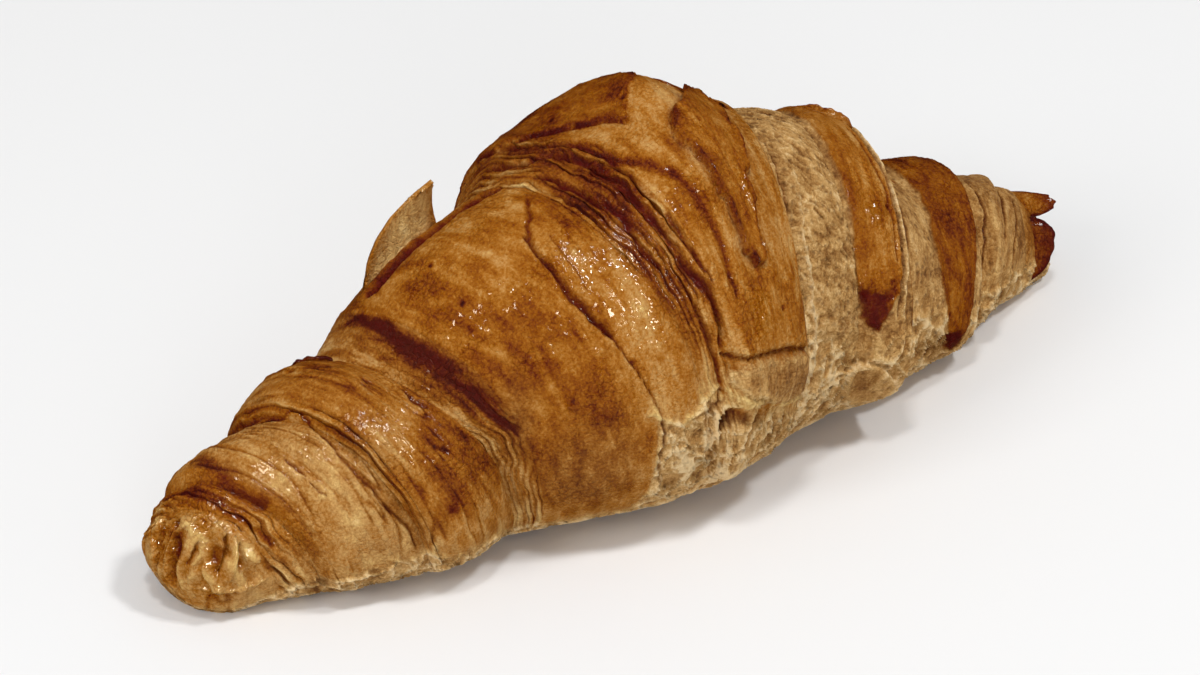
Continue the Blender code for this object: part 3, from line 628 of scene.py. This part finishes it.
def skinRelief(s):  # thin lamination lines, pits and blisters of the baked skin
    skin = np.clip(1 - s.dough, 0, 1)
    s.streaks = fractalNoise(s.flow, 0.8, 12, 3)
    wave = s.flow * np.array((1.0, 0.4, 0.4))
    wavy = fractalNoise(wave, 1.3, 13, 3)
    slope = np.abs(fractalNoise(wave + np.array((0.05, 0, 0)), 1.3, 13, 3) - wavy) / 0.05
    wavy = wavy / np.maximum(slope, 0.45)
    thin = np.exp(-((wavy / 0.09) ** 2)) * np.clip(0.5 + 1.8 * valueNoise(s.base, 4.0, 18), 0, 1)
    nearWraps = np.where(s.index < lineIndex["middleFoot"], 1.0, 0.0)
    thin = thin * (0.35 + 0.65 * nearWraps) * (1 - s.calm)
    ridge = np.exp(-(((wavy - 0.24) / 0.12) ** 2)) * nearWraps * (1 - s.calm)
    s.proud = s.proud + relief["skinWaves"] * skin * fractalNoise(s.base, 4.0, 11)
    s.proud = s.proud + (skin * relief["streaks"] + relief["doughStreaks"]) * s.streaks
    s.proud = s.proud - relief["thinLines"] * thin + relief["ridges"] * ridge
    bumps, _ = cellNoise(s.base, 0.8, 15)
    spots, _ = cellNoise(s.base, 3.6, 35)
    pit = np.clip(1 - (spots / 0.1) ** 2, 0, 1) * (s.index > lineIndex["nearLip1"])
    s.proud = s.proud - relief["pits"] * skin * pit
    # The pits are painted darker as shade inside them
    s.bake = s.bake + 0.35 * skin * pit
    blister = np.clip(valueNoise(s.base, 1.0, 16) + 0.25 + 0.3 * s.gloss, 0, 1)
    blister = blister * np.clip(1 - (bumps / 0.5) ** 2, 0, 1)
    s.proud = s.proud + skin * relief["blisters"] * blister * (1 + 1.2 * np.clip(s.gloss, 0, 1))
    # Thin grooves darkened, partly darker crust and partly painted shade; blister tops lightened, partly paler
    # crust and partly painted highlight
    s.bake = s.bake + skin * (0.15 * s.streaks - 0.12 * blister) + 0.22 * thin - 0.10 * ridge
    s.gloss = s.gloss + 0.35 * ridge * skin


def doughRelief(s):  # netted and folded dough, and slanting fibres where the wrap was stretched open
    warped = s.base + 1.0 * np.stack([fractalNoise(s.base, 2.4, seed) for seed in (21, 22, 23)], -1)
    nearest, second = cellNoise(warped, 1.9, 7)
    net = np.exp(-(((second - nearest) / 0.07) ** 2)) * (1 - s.calm)
    hollow = np.clip(1 - nearest / 0.6, 0, 1) * (1 - s.calm)
    fold = 1 - np.abs(fractalNoise(s.base * np.array((1, 1, 0.7)), 3.2, 29, 2)) * 2.5
    fibreZone = np.where(s.index == lineIndex["openFoot"], 1.0, 0.0) * s.clear
    around = s.degrees * ringScale(s.x)
    fibrePlace = np.stack([(s.x - 1.0 * around) / 1.41 * 0.30, (s.x + around) / 1.41, 0.3 * s.base[..., 2]], -1)
    fibrePlace = fibrePlace + 0.25 * np.stack([valueNoise(s.base, 1.1, seed) for seed in (91, 92, 93)], -1)
    fibre = 1 - np.abs(fractalNoise(fibrePlace, 0.5, 17, 2)) * 3.2
    rough = fractalNoise(s.base, 0.6, 19, 3) * (1 - s.calm)
    plain = s.dough * (1 - fibreZone)
    wrinkles = relief["net"] * net - relief["hollows"] * hollow + relief["folds"] * fold
    s.proud = s.proud + plain * (s.low * wrinkles + relief["doughRough"] * (rough + s.streaks))
    s.proud = s.proud + s.dough * fibreZone * relief["fibres"] * fibre
    # Hollows are painted darker as shade in them; the net's ridges paler
    s.bake = s.bake + plain * (s.low * (0.20 * hollow - 0.26 * net - 0.06 * fold) - 0.16 * rough - 0.12 * s.streaks)
    # Fibre ridges lightened, partly paler stretched dough and partly painted highlight
    s.bake = s.bake - s.dough * fibreZone * (0.15 * fibre + 0.04)
    s.flow = s.flow + (1.7 * fibrePlace - s.flow) * fibreZone[..., None]


def capFolds(s):  # the crinkled folds of the near end
    cap = 1 - smoothStep(s.across, -48.4, -46.6)
    turned = 0.5 * np.stack([valueNoise(s.base, 2.0, seed) for seed in (94, 95, 96)], -1)
    turned = turned + s.base * np.array((0.8, 1.0, 0.20))
    crinkle = np.clip(1 - np.abs(fractalNoise(turned, 1.3, 27, 3)) * 4.0, -1, 1)
    folded = cap * smoothStep(s.base[..., 2], 2.0, 5.0)
    facing = np.sqrt(np.clip(1 - capShare(s.x) ** 2, 0, 1))
    s.proud = s.proud + relief["capCrinkle"] * folded * crinkle * (1 - facing)
    s.lean = s.lean - folded * facing * (relief["capLean"] * (np.clip(crinkle, -1, 0.7) - 0.7) + 0.6)
    s.bake = s.bake - folded * (0.26 * crinkle - 0.06)
    s.gloss = s.gloss + 0.5 * folded
    # Fold valleys darkened, partly scorched crust and partly painted shade in the folds
    s.burntAndShade = s.burntAndShade + 0.8 * np.clip(-crinkle - 0.3, 0, 1) * folded


# In this order, because later steps lie over earlier ones
surfaceSteps = (
    paleFlanks,
    layeredFaces,
    laySkins,
    addPatches,
    cutCreases,
    shapeCrown,
    skinRelief,
    doughRelief,
    capFolds,
)


def surfaceFields(index, share, x, degrees, ringX):
    s = plainSurface(index, share, x, degrees, ringX)
    for step in surfaceSteps:
        step(s)
    fields = dict(
        bake=s.bake,
        burntAndShade=np.clip(s.burntAndShade, 0, 1),
        dough=np.clip(s.dough, 0, 1),
        gloss=np.clip(s.gloss, 0, 1.5),
    )
    return s.proud, s.lean, fields, s.flow


# A stretch of the roll as a closed shell: a grid between two lines, its ends carried on and drawn
# inwards under the neighbouring wraps, then closed on the roll's core
def rollShell(name, start, end, rowsPerMm, columns, tuck):
    first, last = lineIndex[start], lineIndex[end]
    places = []
    for number in range(first, last):
        front, top = (abs(lines[number + 1]["at"][i] - lines[number]["at"][i]) for i in (0, 1))
        rows = max(4, int(round(max(front, top) * rowsPerMm)), 11 * lines[number].get("layers", 0))
        shares = np.arange(rows) / rows
        if number == 0:
            shares = 1 - np.cos(shares * math.pi / 2)
        if number == len(lines) - 2:
            shares = np.sin(shares * math.pi / 2)
        places.extend(number + shares)
    places = np.array(places + [float(last)])
    angle = np.radians(-90 + 360 * np.arange(columns) / columns)
    index = np.minimum(places.astype(int), len(lines) - 2)[:, None]
    share = places[:, None] - index
    index = index + np.zeros((1, columns), int)
    share = share + np.zeros((1, columns))
    if last < len(lines) - 1:  # the last row belongs to the stretch before it
        index[-1], share[-1] = last - 1, 1.0
    ringX = linePlaces(angle)
    x = np.take_along_axis(ringX, index, 0) * (1 - share) + np.take_along_axis(ringX, index + 1, 0) * share
    angles = angle[None, :] + np.zeros_like(x)
    degrees = np.degrees(angles)
    proud, lean, fields, flow = surfaceFields(index, share, x, degrees, ringX)
    points = ringPoint(x, angles, proud * capShare(x) ** 0.5)
    points[..., 0] += lean
    points = points + np.array(roll["shift"])

    def tucked(edge, sign):  # rings that carry on past an end line and sink below the skin
        rings = []
        for step in range(1, tuck + 1):
            ring = ringPoint(x[edge] + sign * 0.16 * step, angle, proud[edge] - 0.05 * step**1.6)
            rings.append(ring + np.array(roll["shift"]))
        return rings

    before = tucked(0, -1)[::-1] if first > 0 else []
    after = tucked(-1, 1) if last < len(lines) - 1 else []
    before, after = (np.array(rings).reshape(-1, columns, 3) for rings in (before, after))
    grid = np.concatenate([before, points, after])
    spread = {
        key: np.concatenate([value[:1]] * len(before) + [value] + [value[-1:]] * len(after))
        for key, value in fields.items()
    }
    flows = np.concatenate([flow[:1]] * len(before) + [flow] + [flow[-1:]] * len(after))
    return closedTube(name, grid, spread, flows)


# A smooth piece from points in millimetres, with its fields and its flow as attributes of the points
def buildPiece(name, points, faces, fields, flow):
    mesh = bpy.data.meshes.new(name)
    mesh.from_pydata((points * mm).tolist(), [], faces)
    for key, value in fields.items():
        layer = mesh.attributes.new(key, "FLOAT", "POINT")
        layer.data.foreach_set("value", value.astype(np.float32).ravel())
    layer = mesh.attributes.new("flow", "FLOAT_VECTOR", "POINT")
    layer.data.foreach_set("vector", (flow * mm).astype(np.float32).ravel())
    mesh.update()
    mesh.shade_smooth()
    piece = bpy.data.objects.new(name, mesh)
    bpy.context.scene.collection.objects.link(piece)
    return piece


# Mesh of a ring grid closed round its columns, with a fan to one point at each end
def closedTube(name, grid, fields, flows):
    rows, columns = grid.shape[:2]
    number = np.arange(rows * columns).reshape(rows, columns)
    beside = np.roll(number, -1, axis=1)
    quads = np.stack([number[:-1], number[1:], beside[1:], beside[:-1]], -1).reshape(-1, 4)
    tips = [grid[0].mean(0), grid[-1].mean(0)]
    points = np.concatenate([grid.reshape(-1, 3), tips])
    startTip, endTip = rows * columns, rows * columns + 1
    fans = [(int(a), int(b), startTip) for a, b in zip(number[0], beside[0])]
    fans += [(int(b), int(a), endTip) for a, b in zip(number[-1], beside[-1])]
    fields = {
        key: np.concatenate([value.ravel(), [value[0].mean(), value[-1].mean()]])
        for key, value in fields.items()
    }
    flow = np.concatenate([flows.reshape(-1, 3), np.stack([flows[0].mean(0), flows[-1].mean(0)])])
    return buildPiece(name, points, quads.tolist() + fans, fields, flow)


def skinAt(x, degrees, lift=0.0):  # a point of the finished roll's form, without the fine relief
    angle = np.radians(np.asarray(degrees, float))
    x = np.asarray(x, float)
    ringX = linePlaces(angle)
    place = np.array([np.interp(a, column, np.arange(len(lines))) for a, column in zip(x, ringX.T)])
    index = np.minimum(place.astype(int), len(lines) - 2)
    share = place - index
    heights = np.array([line["height"] for line in lines])
    proud = heights[index] * (1 - share) + heights[index + 1] * share
    return ringPoint(x, angle, proud * pressedShare(angle) + unevenness(x, angle) + lift) + np.array(roll["shift"])


# Flakes of skin that stand clear: foot from start to end on the skin, rise and curl in millimetres
flakes = [
    dict(name="tallFlake", start=(-26.6, 124), end=(-18.4, 133), rise=(0.2, 1.6, 7.6), curl=(0.6, -0.8, -0.2),
         hook=(1.9, 0.0, -0.5), pointed=0.1, cells=(70, 50), thick=0.45, ragged=0.10, bake=(0.24, 0.46),
         dough=0.4, burntAndShade=0.0),
    dict(name="farPetalUpper", start=(43.0, 112), end=(45.0, 56), rise=(4.5, -0.6, -2.0), curl=(0.0, -0.4, 0.8),
         pointed=0.5, cells=(44, 34), thick=0.6, ragged=0.14, bake=(0.64, 0.86), dough=0.0, burntAndShade=0.7),
    dict(name="farPetalLower", start=(44.4, 50), end=(42.4, -18), rise=(3.0, -0.8, -0.2), curl=(0.1, 0.6, 0.2),
         pointed=0.1, cells=(44, 34), thick=0.6, ragged=0.10, bake=(0.92, 1.0), dough=0.0, burntAndShade=0.8),
    dict(name="crestFlake", start=(1.5, 102), end=(9.0, 82), rise=(-1.6, 0.6, 2.8), curl=(-0.8, 0.0, -0.5),
         pointed=0.4, cells=(44, 20), thick=0.35, ragged=0.2, bake=(0.60, 0.80), dough=0.0, burntAndShade=0.2),
    dict(name="farTopFlake", start=(25.6, 122), end=(29.2, 80), rise=(-1.4, 0.4, 1.6), curl=(-0.4, 0.0, -0.2),
         pointed=0.3, cells=(44, 18), thick=0.35, ragged=0.2, bake=(0.60, 0.80), dough=0.0, burntAndShade=0.3),
    dict(name="stripFlake", start=(17.6, 108), end=(21.4, 85), rise=(0.5, 0.2, 1.5), curl=(0.3, 0.0, -0.2),
         pointed=-0.6, cells=(40, 16), thick=0.35, ragged=0.2, bake=(0.58, 0.64), dough=0.0, burntAndShade=0.1),
    dict(name="nearTopFlake", start=(-34.8, 132), end=(-31.6, 108), rise=(-0.4, 0.6, 1.4), curl=(-0.2, 0.2, 0.0),
         pointed=0.3, cells=(36, 16), thick=0.35, ragged=0.2, bake=(0.70, 0.90), dough=0.0, burntAndShade=0.5),
]


# A flake: foot line times height, height = ragged arch along the foot, rise plus curl squared upwards,
# and hook bends only its tip, by the fifth power of the height
def flakeLeaf(settings):
    alongCells, upCells = settings["cells"]
    along = np.linspace(-1, 1, alongCells + 1)[:, None] + np.zeros((1, upCells + 1))
    up = np.linspace(0, 1, upCells + 1)[None, :] + np.zeros_like(along)
    share = (along + 1) / 2
    x = settings["start"][0] * (1 - share) + settings["end"][0] * share
    degrees = settings["start"][1] * (1 - share) + settings["end"][1] * share
    foot = skinAt(x[:, 0], degrees[:, 0], -0.6)[:, None, :] + np.zeros_like(x)[..., None]
    rise, curl = np.array(settings["rise"]), np.array(settings["curl"])
    edge = np.stack([along * 3, 0 * along, 0 * along], -1)
    arch = np.sqrt(np.maximum(1 - along**2, 0.0)) * np.maximum(1 - along**2, 0.02) ** (settings["pointed"] / 2)
    arch = arch * (1 + settings["ragged"] * fractalNoise(edge, 0.8, 71, 4)) + 0.02
    tall = arch * up
    root = -rise / np.linalg.norm(rise) * 1.4
    points = foot + root * (1 - smoothStep(up, 0.0, 0.12))[..., None] + tall[..., None] * rise
    hook = np.array(settings.get("hook", (0.0, 0.0, 0.0)))
    points = points + (tall**2)[..., None] * curl + (tall**5)[..., None] * hook
    side = np.cross(rise, points[-1, 0] - points[0, 0])
    side = side / np.linalg.norm(side)
    bow = 0.22 * fractalNoise(points, 2.2, 77, 3) + 0.5 * settings["thick"] * np.sin(up * 5) * 0.3
    points = points + side * bow[..., None]
    bake = settings["bake"][0] * (1 - up) + settings["bake"][1] * up**2 + 0.1 * np.abs(along) ** 4
    fields = dict(
        bake=bake,
        burntAndShade=settings["burntAndShade"] * up**2,
        dough=settings["dough"] * (1 - up**3),
        gloss=0.2 * up,
    )
    rows, columns = points.shape[:2]
    number = np.arange(rows * columns).reshape(rows, columns)
    quads = np.stack([number[:-1, :-1], number[1:, :-1], number[1:, 1:], number[:-1, 1:]], -1).reshape(-1, 4)
    flow = points * np.array((1, 1, 0.3))
    piece = buildPiece(settings["name"], points.reshape(-1, 3), quads.tolist(), fields, flow)
    wall = piece.modifiers.new("wall", "SOLIDIFY")
    wall.thickness = settings["thick"] * mm
    wall.offset = 0.0
    return piece


def linearColor(red, green, blue):  # screen values 0-255 to linear light
    return [((c / 255 + 0.055) / 1.055) ** 2.4 if c > 10 else c / 255 / 12.92 for c in (red, green, blue)] + [1.0]


class NodeBoard:  # short names for adding and joining shader nodes
    def __init__(self, tree):
        self.tree = tree

    def add(self, kind, **values):
        node = self.tree.nodes.new(kind)
        for key, value in values.items():
            setattr(node, key, value)
        return node

    def join(self, source, target):
        self.tree.links.new(source, target)

    def math(self, operation, a, b=None, clamp=False):
        node = self.add("ShaderNodeMath", operation=operation, use_clamp=clamp)
        for socket, value in zip(node.inputs, (a, b)):
            if value is None:
                continue
            if isinstance(value, (int, float)):
                socket.default_value = value
            else:
                self.join(value, socket)
        return node.outputs[0]

    def noise(self, vector, scale, detail=2.0, roughness=0.5, distortion=0.0):
        node = self.add("ShaderNodeTexNoise")
        node.inputs["Scale"].default_value = scale
        node.inputs["Detail"].default_value = detail
        node.inputs["Roughness"].default_value = roughness
        node.inputs["Distortion"].default_value = distortion
        self.join(vector, node.inputs["Vector"])
        return node.outputs["Fac"]

    def mix(self, factor, a, b):
        node = self.add("ShaderNodeMix", data_type="RGBA")
        self.join(factor, node.inputs[0])
        for socket, value in ((node.inputs[6], a), (node.inputs[7], b)):
            if isinstance(value, list):
                socket.default_value = value
            else:
                self.join(value, socket)
        return node.outputs[2]

    def ramp(self, factor, stops):
        node = self.add("ShaderNodeValToRGB")
        ramp = node.color_ramp
        while len(ramp.elements) < len(stops):
            ramp.elements.new(0.5)
        for element, (place, color) in zip(ramp.elements, stops):
            element.position = place
            element.color = color
        self.join(factor, node.inputs[0])
        return node.outputs[0]


crustLook = dict(
    skinStops=[
        (0.05, linearColor(236, 200, 128)),
        (0.22, linearColor(212, 168, 98)),
        (0.36, linearColor(194, 142, 78)),
        (0.50, linearColor(176, 114, 40)),
        (0.62, linearColor(156, 90, 12)),
        (0.74, linearColor(134, 68, 5)),
        (0.86, linearColor(106, 40, 6)),
        (1.00, linearColor(62, 11, 7)),
    ],
    doughStops=[
        (0.02, linearColor(240, 208, 156)),
        (0.20, linearColor(212, 168, 106)),
        (0.38, linearColor(178, 131, 72)),
        (0.58, linearColor(132, 86, 40)),
        (0.85, linearColor(76, 38, 14)),
    ],
    # dark maroon of scorched crust, used as well for painted shade in gaps, creases and folds
    burntAndShadeColor=linearColor(92, 16, 9),
    skinRoughness=0.34,
    doughRoughness=0.70,
    glossSmooths=0.16,  # roughness that full gloss takes away
    grain=0.26,  # millimetres, as the sizes and heights below
    bumpHeight=0.26,
    glintSize=0.8,
    glint=0.6,
    coatRoughness=0.07,
    wetSize=0.95,
    wetHeight=0.15,
)


# Sizes in millimetres and strengths in bake
patternLook = dict(
    cloudSize=5.5,
    cloud=0.34,
    blotchSize=1.7,
    blotch=0.20,
    streakSize=0.9,
    streak=0.62,
    speck=0.72,
    crackleSize=0.75,
    crackle=0.09,
    crackleBend=0.7,
    poreSize=0.8,
)


# Pastry pattern: bake with clouds, streaks that follow the wraps and fine specks; pores of the dough;
# and the height of the grain for bump
def pastryPatternGroup():
    group = bpy.data.node_groups.new("pastryPattern", "ShaderNodeTree")
    for name, kind, way in (
        ("Vector", "NodeSocketVector", "INPUT"), ("Flow", "NodeSocketVector", "INPUT"),
        ("Bake", "NodeSocketFloat", "INPUT"), ("Dough", "NodeSocketFloat", "INPUT"),
        ("Mottled Bake", "NodeSocketFloat", "OUTPUT"), ("Pores", "NodeSocketFloat", "OUTPUT"),
        ("Grain", "NodeSocketFloat", "OUTPUT"),
    ):
        group.interface.new_socket(name=name, in_out=way, socket_type=kind)
    board = NodeBoard(group)
    inward, outward = board.add("NodeGroupInput"), board.add("NodeGroupOutput")
    vector, flow, bake, dough = (inward.outputs[name] for name in ("Vector", "Flow", "Bake", "Dough"))
    cloud = board.noise(vector, 1 / (patternLook["cloudSize"] * mm), 3, 0.55)
    streak = board.noise(flow, 1 / (patternLook["streakSize"] * mm), 4, 0.62)
    speck = board.noise(vector, 1 / (crustLook["grain"] * mm), 4, 0.72)
    tiny = board.add("ShaderNodeTexVoronoi", feature="DISTANCE_TO_EDGE")
    tiny.inputs["Scale"].default_value = 1 / (patternLook["crackleSize"] * mm)
    shaken = board.add("ShaderNodeTexNoise")
    shaken.inputs["Scale"].default_value = 1 / (0.6 * mm)
    board.join(vector, shaken.inputs["Vector"])
    bent = board.add("ShaderNodeVectorMath", operation="MULTIPLY_ADD")
    board.join(shaken.outputs["Color"], bent.inputs[0])
    bent.inputs[1].default_value = (patternLook["crackleBend"] * mm,) * 3
    board.join(vector, bent.inputs[2])
    board.join(bent.outputs[0], tiny.inputs["Vector"])
    crackle = board.math("SUBTRACT", 1.0, board.math("MULTIPLY", tiny.outputs["Distance"], 7.0), clamp=True)
    cloudy = board.math("MULTIPLY", board.math("SUBTRACT", cloud, 0.35), 3.5, clamp=True)
    crackle = board.math("MULTIPLY", crackle, cloudy)
    total = board.math("ADD", bake, board.math("MULTIPLY", crackle, patternLook["crackle"]))
    blotch = board.noise(vector, 1 / (patternLook["blotchSize"] * mm), 3, 0.6)
    for pattern, name in ((cloud, "cloud"), (blotch, "blotch"), (streak, "streak"), (speck, "speck")):
        centred = board.math("SUBTRACT", pattern, 0.5)
        total = board.math("ADD", total, board.math("MULTIPLY", centred, patternLook[name]))
    board.join(total, outward.inputs["Mottled Bake"])
    cells = board.add("ShaderNodeTexVoronoi", feature="F1")
    cells.inputs["Scale"].default_value = 1 / (patternLook["poreSize"] * mm)
    board.join(vector, cells.inputs["Vector"])
    pores = board.math("SUBTRACT", 1.0, board.math("MULTIPLY", cells.outputs["Distance"], 2.6), clamp=True)
    pores = board.math("MULTIPLY", pores, board.math("MULTIPLY", streak, 1.8), clamp=True)
    board.join(board.math("MULTIPLY", pores, dough), outward.inputs["Pores"])
    fine = board.math("MULTIPLY", speck, 0.9)
    coarse = board.math("MULTIPLY", streak, 0.7)
    grain = board.math("ADD", fine, coarse)
    board.join(board.math("SUBTRACT", grain, board.math("MULTIPLY", crackle, 0.35)), outward.inputs["Grain"])
    return group


def crustMaterial(pattern):
    material = bpy.data.materials.new("crust")
    material.use_nodes = True
    tree = material.node_tree
    board = NodeBoard(tree)
    shader = tree.nodes["Principled BSDF"]
    coordinates = board.add("ShaderNodeTexCoord").outputs["Object"]
    flow = board.add("ShaderNodeAttribute", attribute_name="flow").outputs["Vector"]
    bake, burntAndShade, dough, gloss = (
        board.add("ShaderNodeAttribute", attribute_name=name).outputs["Fac"]
        for name in ("bake", "burntAndShade", "dough", "gloss")
    )
    surface = board.add("ShaderNodeGroup", node_tree=pattern)
    for name, source in (("Vector", coordinates), ("Flow", flow), ("Bake", bake), ("Dough", dough)):
        board.join(source, surface.inputs[name])
    mottled = surface.outputs["Mottled Bake"]
    skinColor = board.ramp(mottled, crustLook["skinStops"])
    color = board.mix(dough, skinColor, board.ramp(mottled, crustLook["doughStops"]))
    poreShade = board.math("MULTIPLY", surface.outputs["Pores"], 0.75)
    color = board.mix(poreShade, color, linearColor(112, 68, 32))
    broken = board.math("SUBTRACT", board.math("MULTIPLY", surface.outputs["Grain"], 1.5), 0.4)
    # Mixed to the dark maroon where the crust is scorched, and as painted shade in gaps, creases and folds
    color = board.mix(board.math("MULTIPLY", burntAndShade, broken, clamp=True), color, crustLook["burntAndShadeColor"])
    board.join(color, shader.inputs["Base Color"])
    sheen = board.noise(coordinates, 1 / (2.2 * mm), 3, 0.6)
    uneven = board.math("MULTIPLY", board.math("SUBTRACT", sheen, 0.5), 0.5)
    rough = board.math("ADD", uneven, crustLook["skinRoughness"])
    lift = board.math("MULTIPLY", dough, crustLook["doughRoughness"] - crustLook["skinRoughness"])
    rough = board.math("ADD", rough, lift)
    smoother = board.math("MULTIPLY", gloss, crustLook["glossSmooths"])
    board.join(board.math("SUBTRACT", rough, smoother, clamp=True), shader.inputs["Roughness"])
    glint = board.noise(coordinates, 1 / (crustLook["glintSize"] * mm), 2, 0.6)
    glint = board.math("MULTIPLY", board.math("SUBTRACT", glint, 0.56), 7.0, clamp=True)
    glint = board.math("MULTIPLY", glint, board.math("SUBTRACT", 1.0, dough))
    coat = board.math("ADD", board.math("MULTIPLY", glint, crustLook["glint"]), gloss, clamp=True)
    board.join(coat, shader.inputs["Coat Weight"])
    shader.inputs["Coat Roughness"].default_value = crustLook["coatRoughness"]
    shader.inputs["IOR"].default_value = 1.45
    shader.inputs["Specular IOR Level"].default_value = 0.1
    bump = board.add("ShaderNodeBump")
    bump.inputs["Strength"].default_value = 1.0
    bump.inputs["Distance"].default_value = crustLook["bumpHeight"] * mm
    height = board.math("SUBTRACT", surface.outputs["Grain"], surface.outputs["Pores"])
    board.join(height, bump.inputs["Height"])
    board.join(bump.outputs["Normal"], shader.inputs["Normal"])
    wet = board.add("ShaderNodeBump")
    wet.inputs["Strength"].default_value = 1.0
    wet.inputs["Distance"].default_value = crustLook["wetHeight"] * mm
    facets = board.noise(coordinates, 1 / (crustLook["wetSize"] * mm), 2, 0.5)
    wetter = board.math("ADD", board.math("MULTIPLY", gloss, 0.5), 1.0)
    board.join(board.math("MULTIPLY", facets, wetter), wet.inputs["Height"])
    board.join(wet.outputs["Normal"], shader.inputs["Coat Normal"])
    return material


crust = crustMaterial(pastryPatternGroup())
shells = [
    dict(name="nearEnd", start="nearTip", end="nearFoot1", rowsPerMm=8.0, columns=400, tuck=8),
    dict(name="bigWrap", start="nearFoot1", end="middleFoot", rowsPerMm=7.0, columns=480, tuck=8),
    dict(name="middleWrap", start="middleFoot", end="tipFoot", rowsPerMm=6.5, columns=530, tuck=8),
    dict(name="tipWrap", start="tipFoot", end="openFoot", rowsPerMm=5.5, columns=450, tuck=8),
    dict(name="openWrap", start="openFoot", end="farFoot1", rowsPerMm=7.0, columns=560, tuck=8),
    dict(name="farWraps", start="farFoot1", end="farTip", rowsPerMm=6.5, columns=380, tuck=8),
]
pieces = []
for settings in shells:
    pieces.append(rollShell(**settings))
    print("made", settings["name"], len(pieces[-1].data.polygons), "faces")
for settings in flakes:
    pieces.append(flakeLeaf(settings))
print("made", len(flakes), "flakes")
for piece in pieces:
    piece.data.materials.append(crust)
    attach(piece, "root")
    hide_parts("croissant")

# Floor, light and camera: metres for the floor and lamps, millimetres for the view
stageLook = dict(floorSize=3.0, floorColor=linearColor(232, 232, 232), worldStrength=0.42)
view = dict(azimuth=-35.0, elevation=34.0, distance=340.0, target=(-8.2, -2.5, 15.0), lens=113.7)
glintColor = (1.0, 0.88, 0.68)
lamps = [
    dict(name="key", azimuth=40, elevation=62, size=0.10, power=2.3),
    dict(name="top", azimuth=-40, elevation=74, size=0.10, power=1.6),
    dict(name="spark", azimuth=-14, elevation=36, size=0.16, power=4.0, color=glintColor, diffuse=False),
    dict(name="sparkSide", azimuth=-66, elevation=44, size=0.16, power=3.0, color=glintColor, diffuse=False),
    dict(name="fill", azimuth=-85, elevation=32, distance=0.9, size=0.3, power=2.4, glossy=False),
    dict(name="front", azimuth=-25, elevation=22, distance=0.9, size=0.3, power=1.1, glossy=False),
]


# A square lamp facing the croissant from a direction; without diffuse it only puts glints on the glaze
def softLight(name, azimuth, elevation, size, power, distance=0.8, color=(1, 1, 1), glossy=True, diffuse=True):
    data = bpy.data.lights.new(name, "AREA")
    data.size = size
    data.energy = power
    data.color = color
    light = bpy.data.objects.new(name, data)
    bpy.context.scene.collection.objects.link(light)
    a, e = math.radians(azimuth), math.radians(elevation)
    toward = Vector((math.sin(a) * math.cos(e), -math.cos(a) * math.cos(e), math.sin(e)))
    light.location = toward * distance + Vector((0, 0, 0.015))
    light.rotation_euler = (-toward).to_track_quat("-Z", "Y").to_euler()
    light.visible_glossy = glossy
    light.visible_diffuse = diffuse


floorMesh = bpy.data.meshes.new("floor")
half = stageLook["floorSize"] / 2
floorMesh.from_pydata([(-half, -half, 0), (half, -half, 0), (half, half, 0), (-half, half, 0)], [], [(0, 1, 2, 3)])
floor = bpy.data.objects.new("floor", floorMesh)
bpy.context.scene.collection.objects.link(floor)
floorMaterial = bpy.data.materials.new("paleFloor")
floorMaterial.use_nodes = True
floorShader = floorMaterial.node_tree.nodes["Principled BSDF"]
floorShader.inputs["Base Color"].default_value = stageLook["floorColor"]
floorShader.inputs["Roughness"].default_value = 0.9
floorShader.inputs["Specular IOR Level"].default_value = 0.0
floorMesh.materials.append(floorMaterial)
floor.visible_glossy = False

world = bpy.data.worlds.new("studio")
world.use_nodes = True
world.node_tree.nodes["Background"].inputs["Color"].default_value = (1, 1, 1, 1)
world.node_tree.nodes["Background"].inputs["Strength"].default_value = stageLook["worldStrength"]
bpy.context.scene.world = world
world.cycles_visibility.glossy = False  # gloss mirrors the lamps alone, so dark crust stays dark
for lamp in lamps:
    softLight(**lamp)

cameraData = bpy.data.cameras.new("camera")
cameraData.lens = view["lens"]
cameraData.sensor_width = 36.0
cameraData.clip_start = 0.01
cameraData.clip_end = 10.0
camera = bpy.data.objects.new("camera", cameraData)
bpy.context.scene.collection.objects.link(camera)
a, e = math.radians(view["azimuth"]), math.radians(view["elevation"])
back = Vector((math.sin(a) * math.cos(e), -math.cos(a) * math.cos(e), math.sin(e)))
target = (Vector(view["target"]) + Vector(roll["shift"])) * mm
camera.location = target + back * view["distance"] * mm
camera.rotation_euler = (-back).to_track_quat("-Z", "Y").to_euler()
bpy.context.scene.camera = camera
bpy.context.scene.view_settings.view_transform = "Standard"
print("floor, light and camera set")
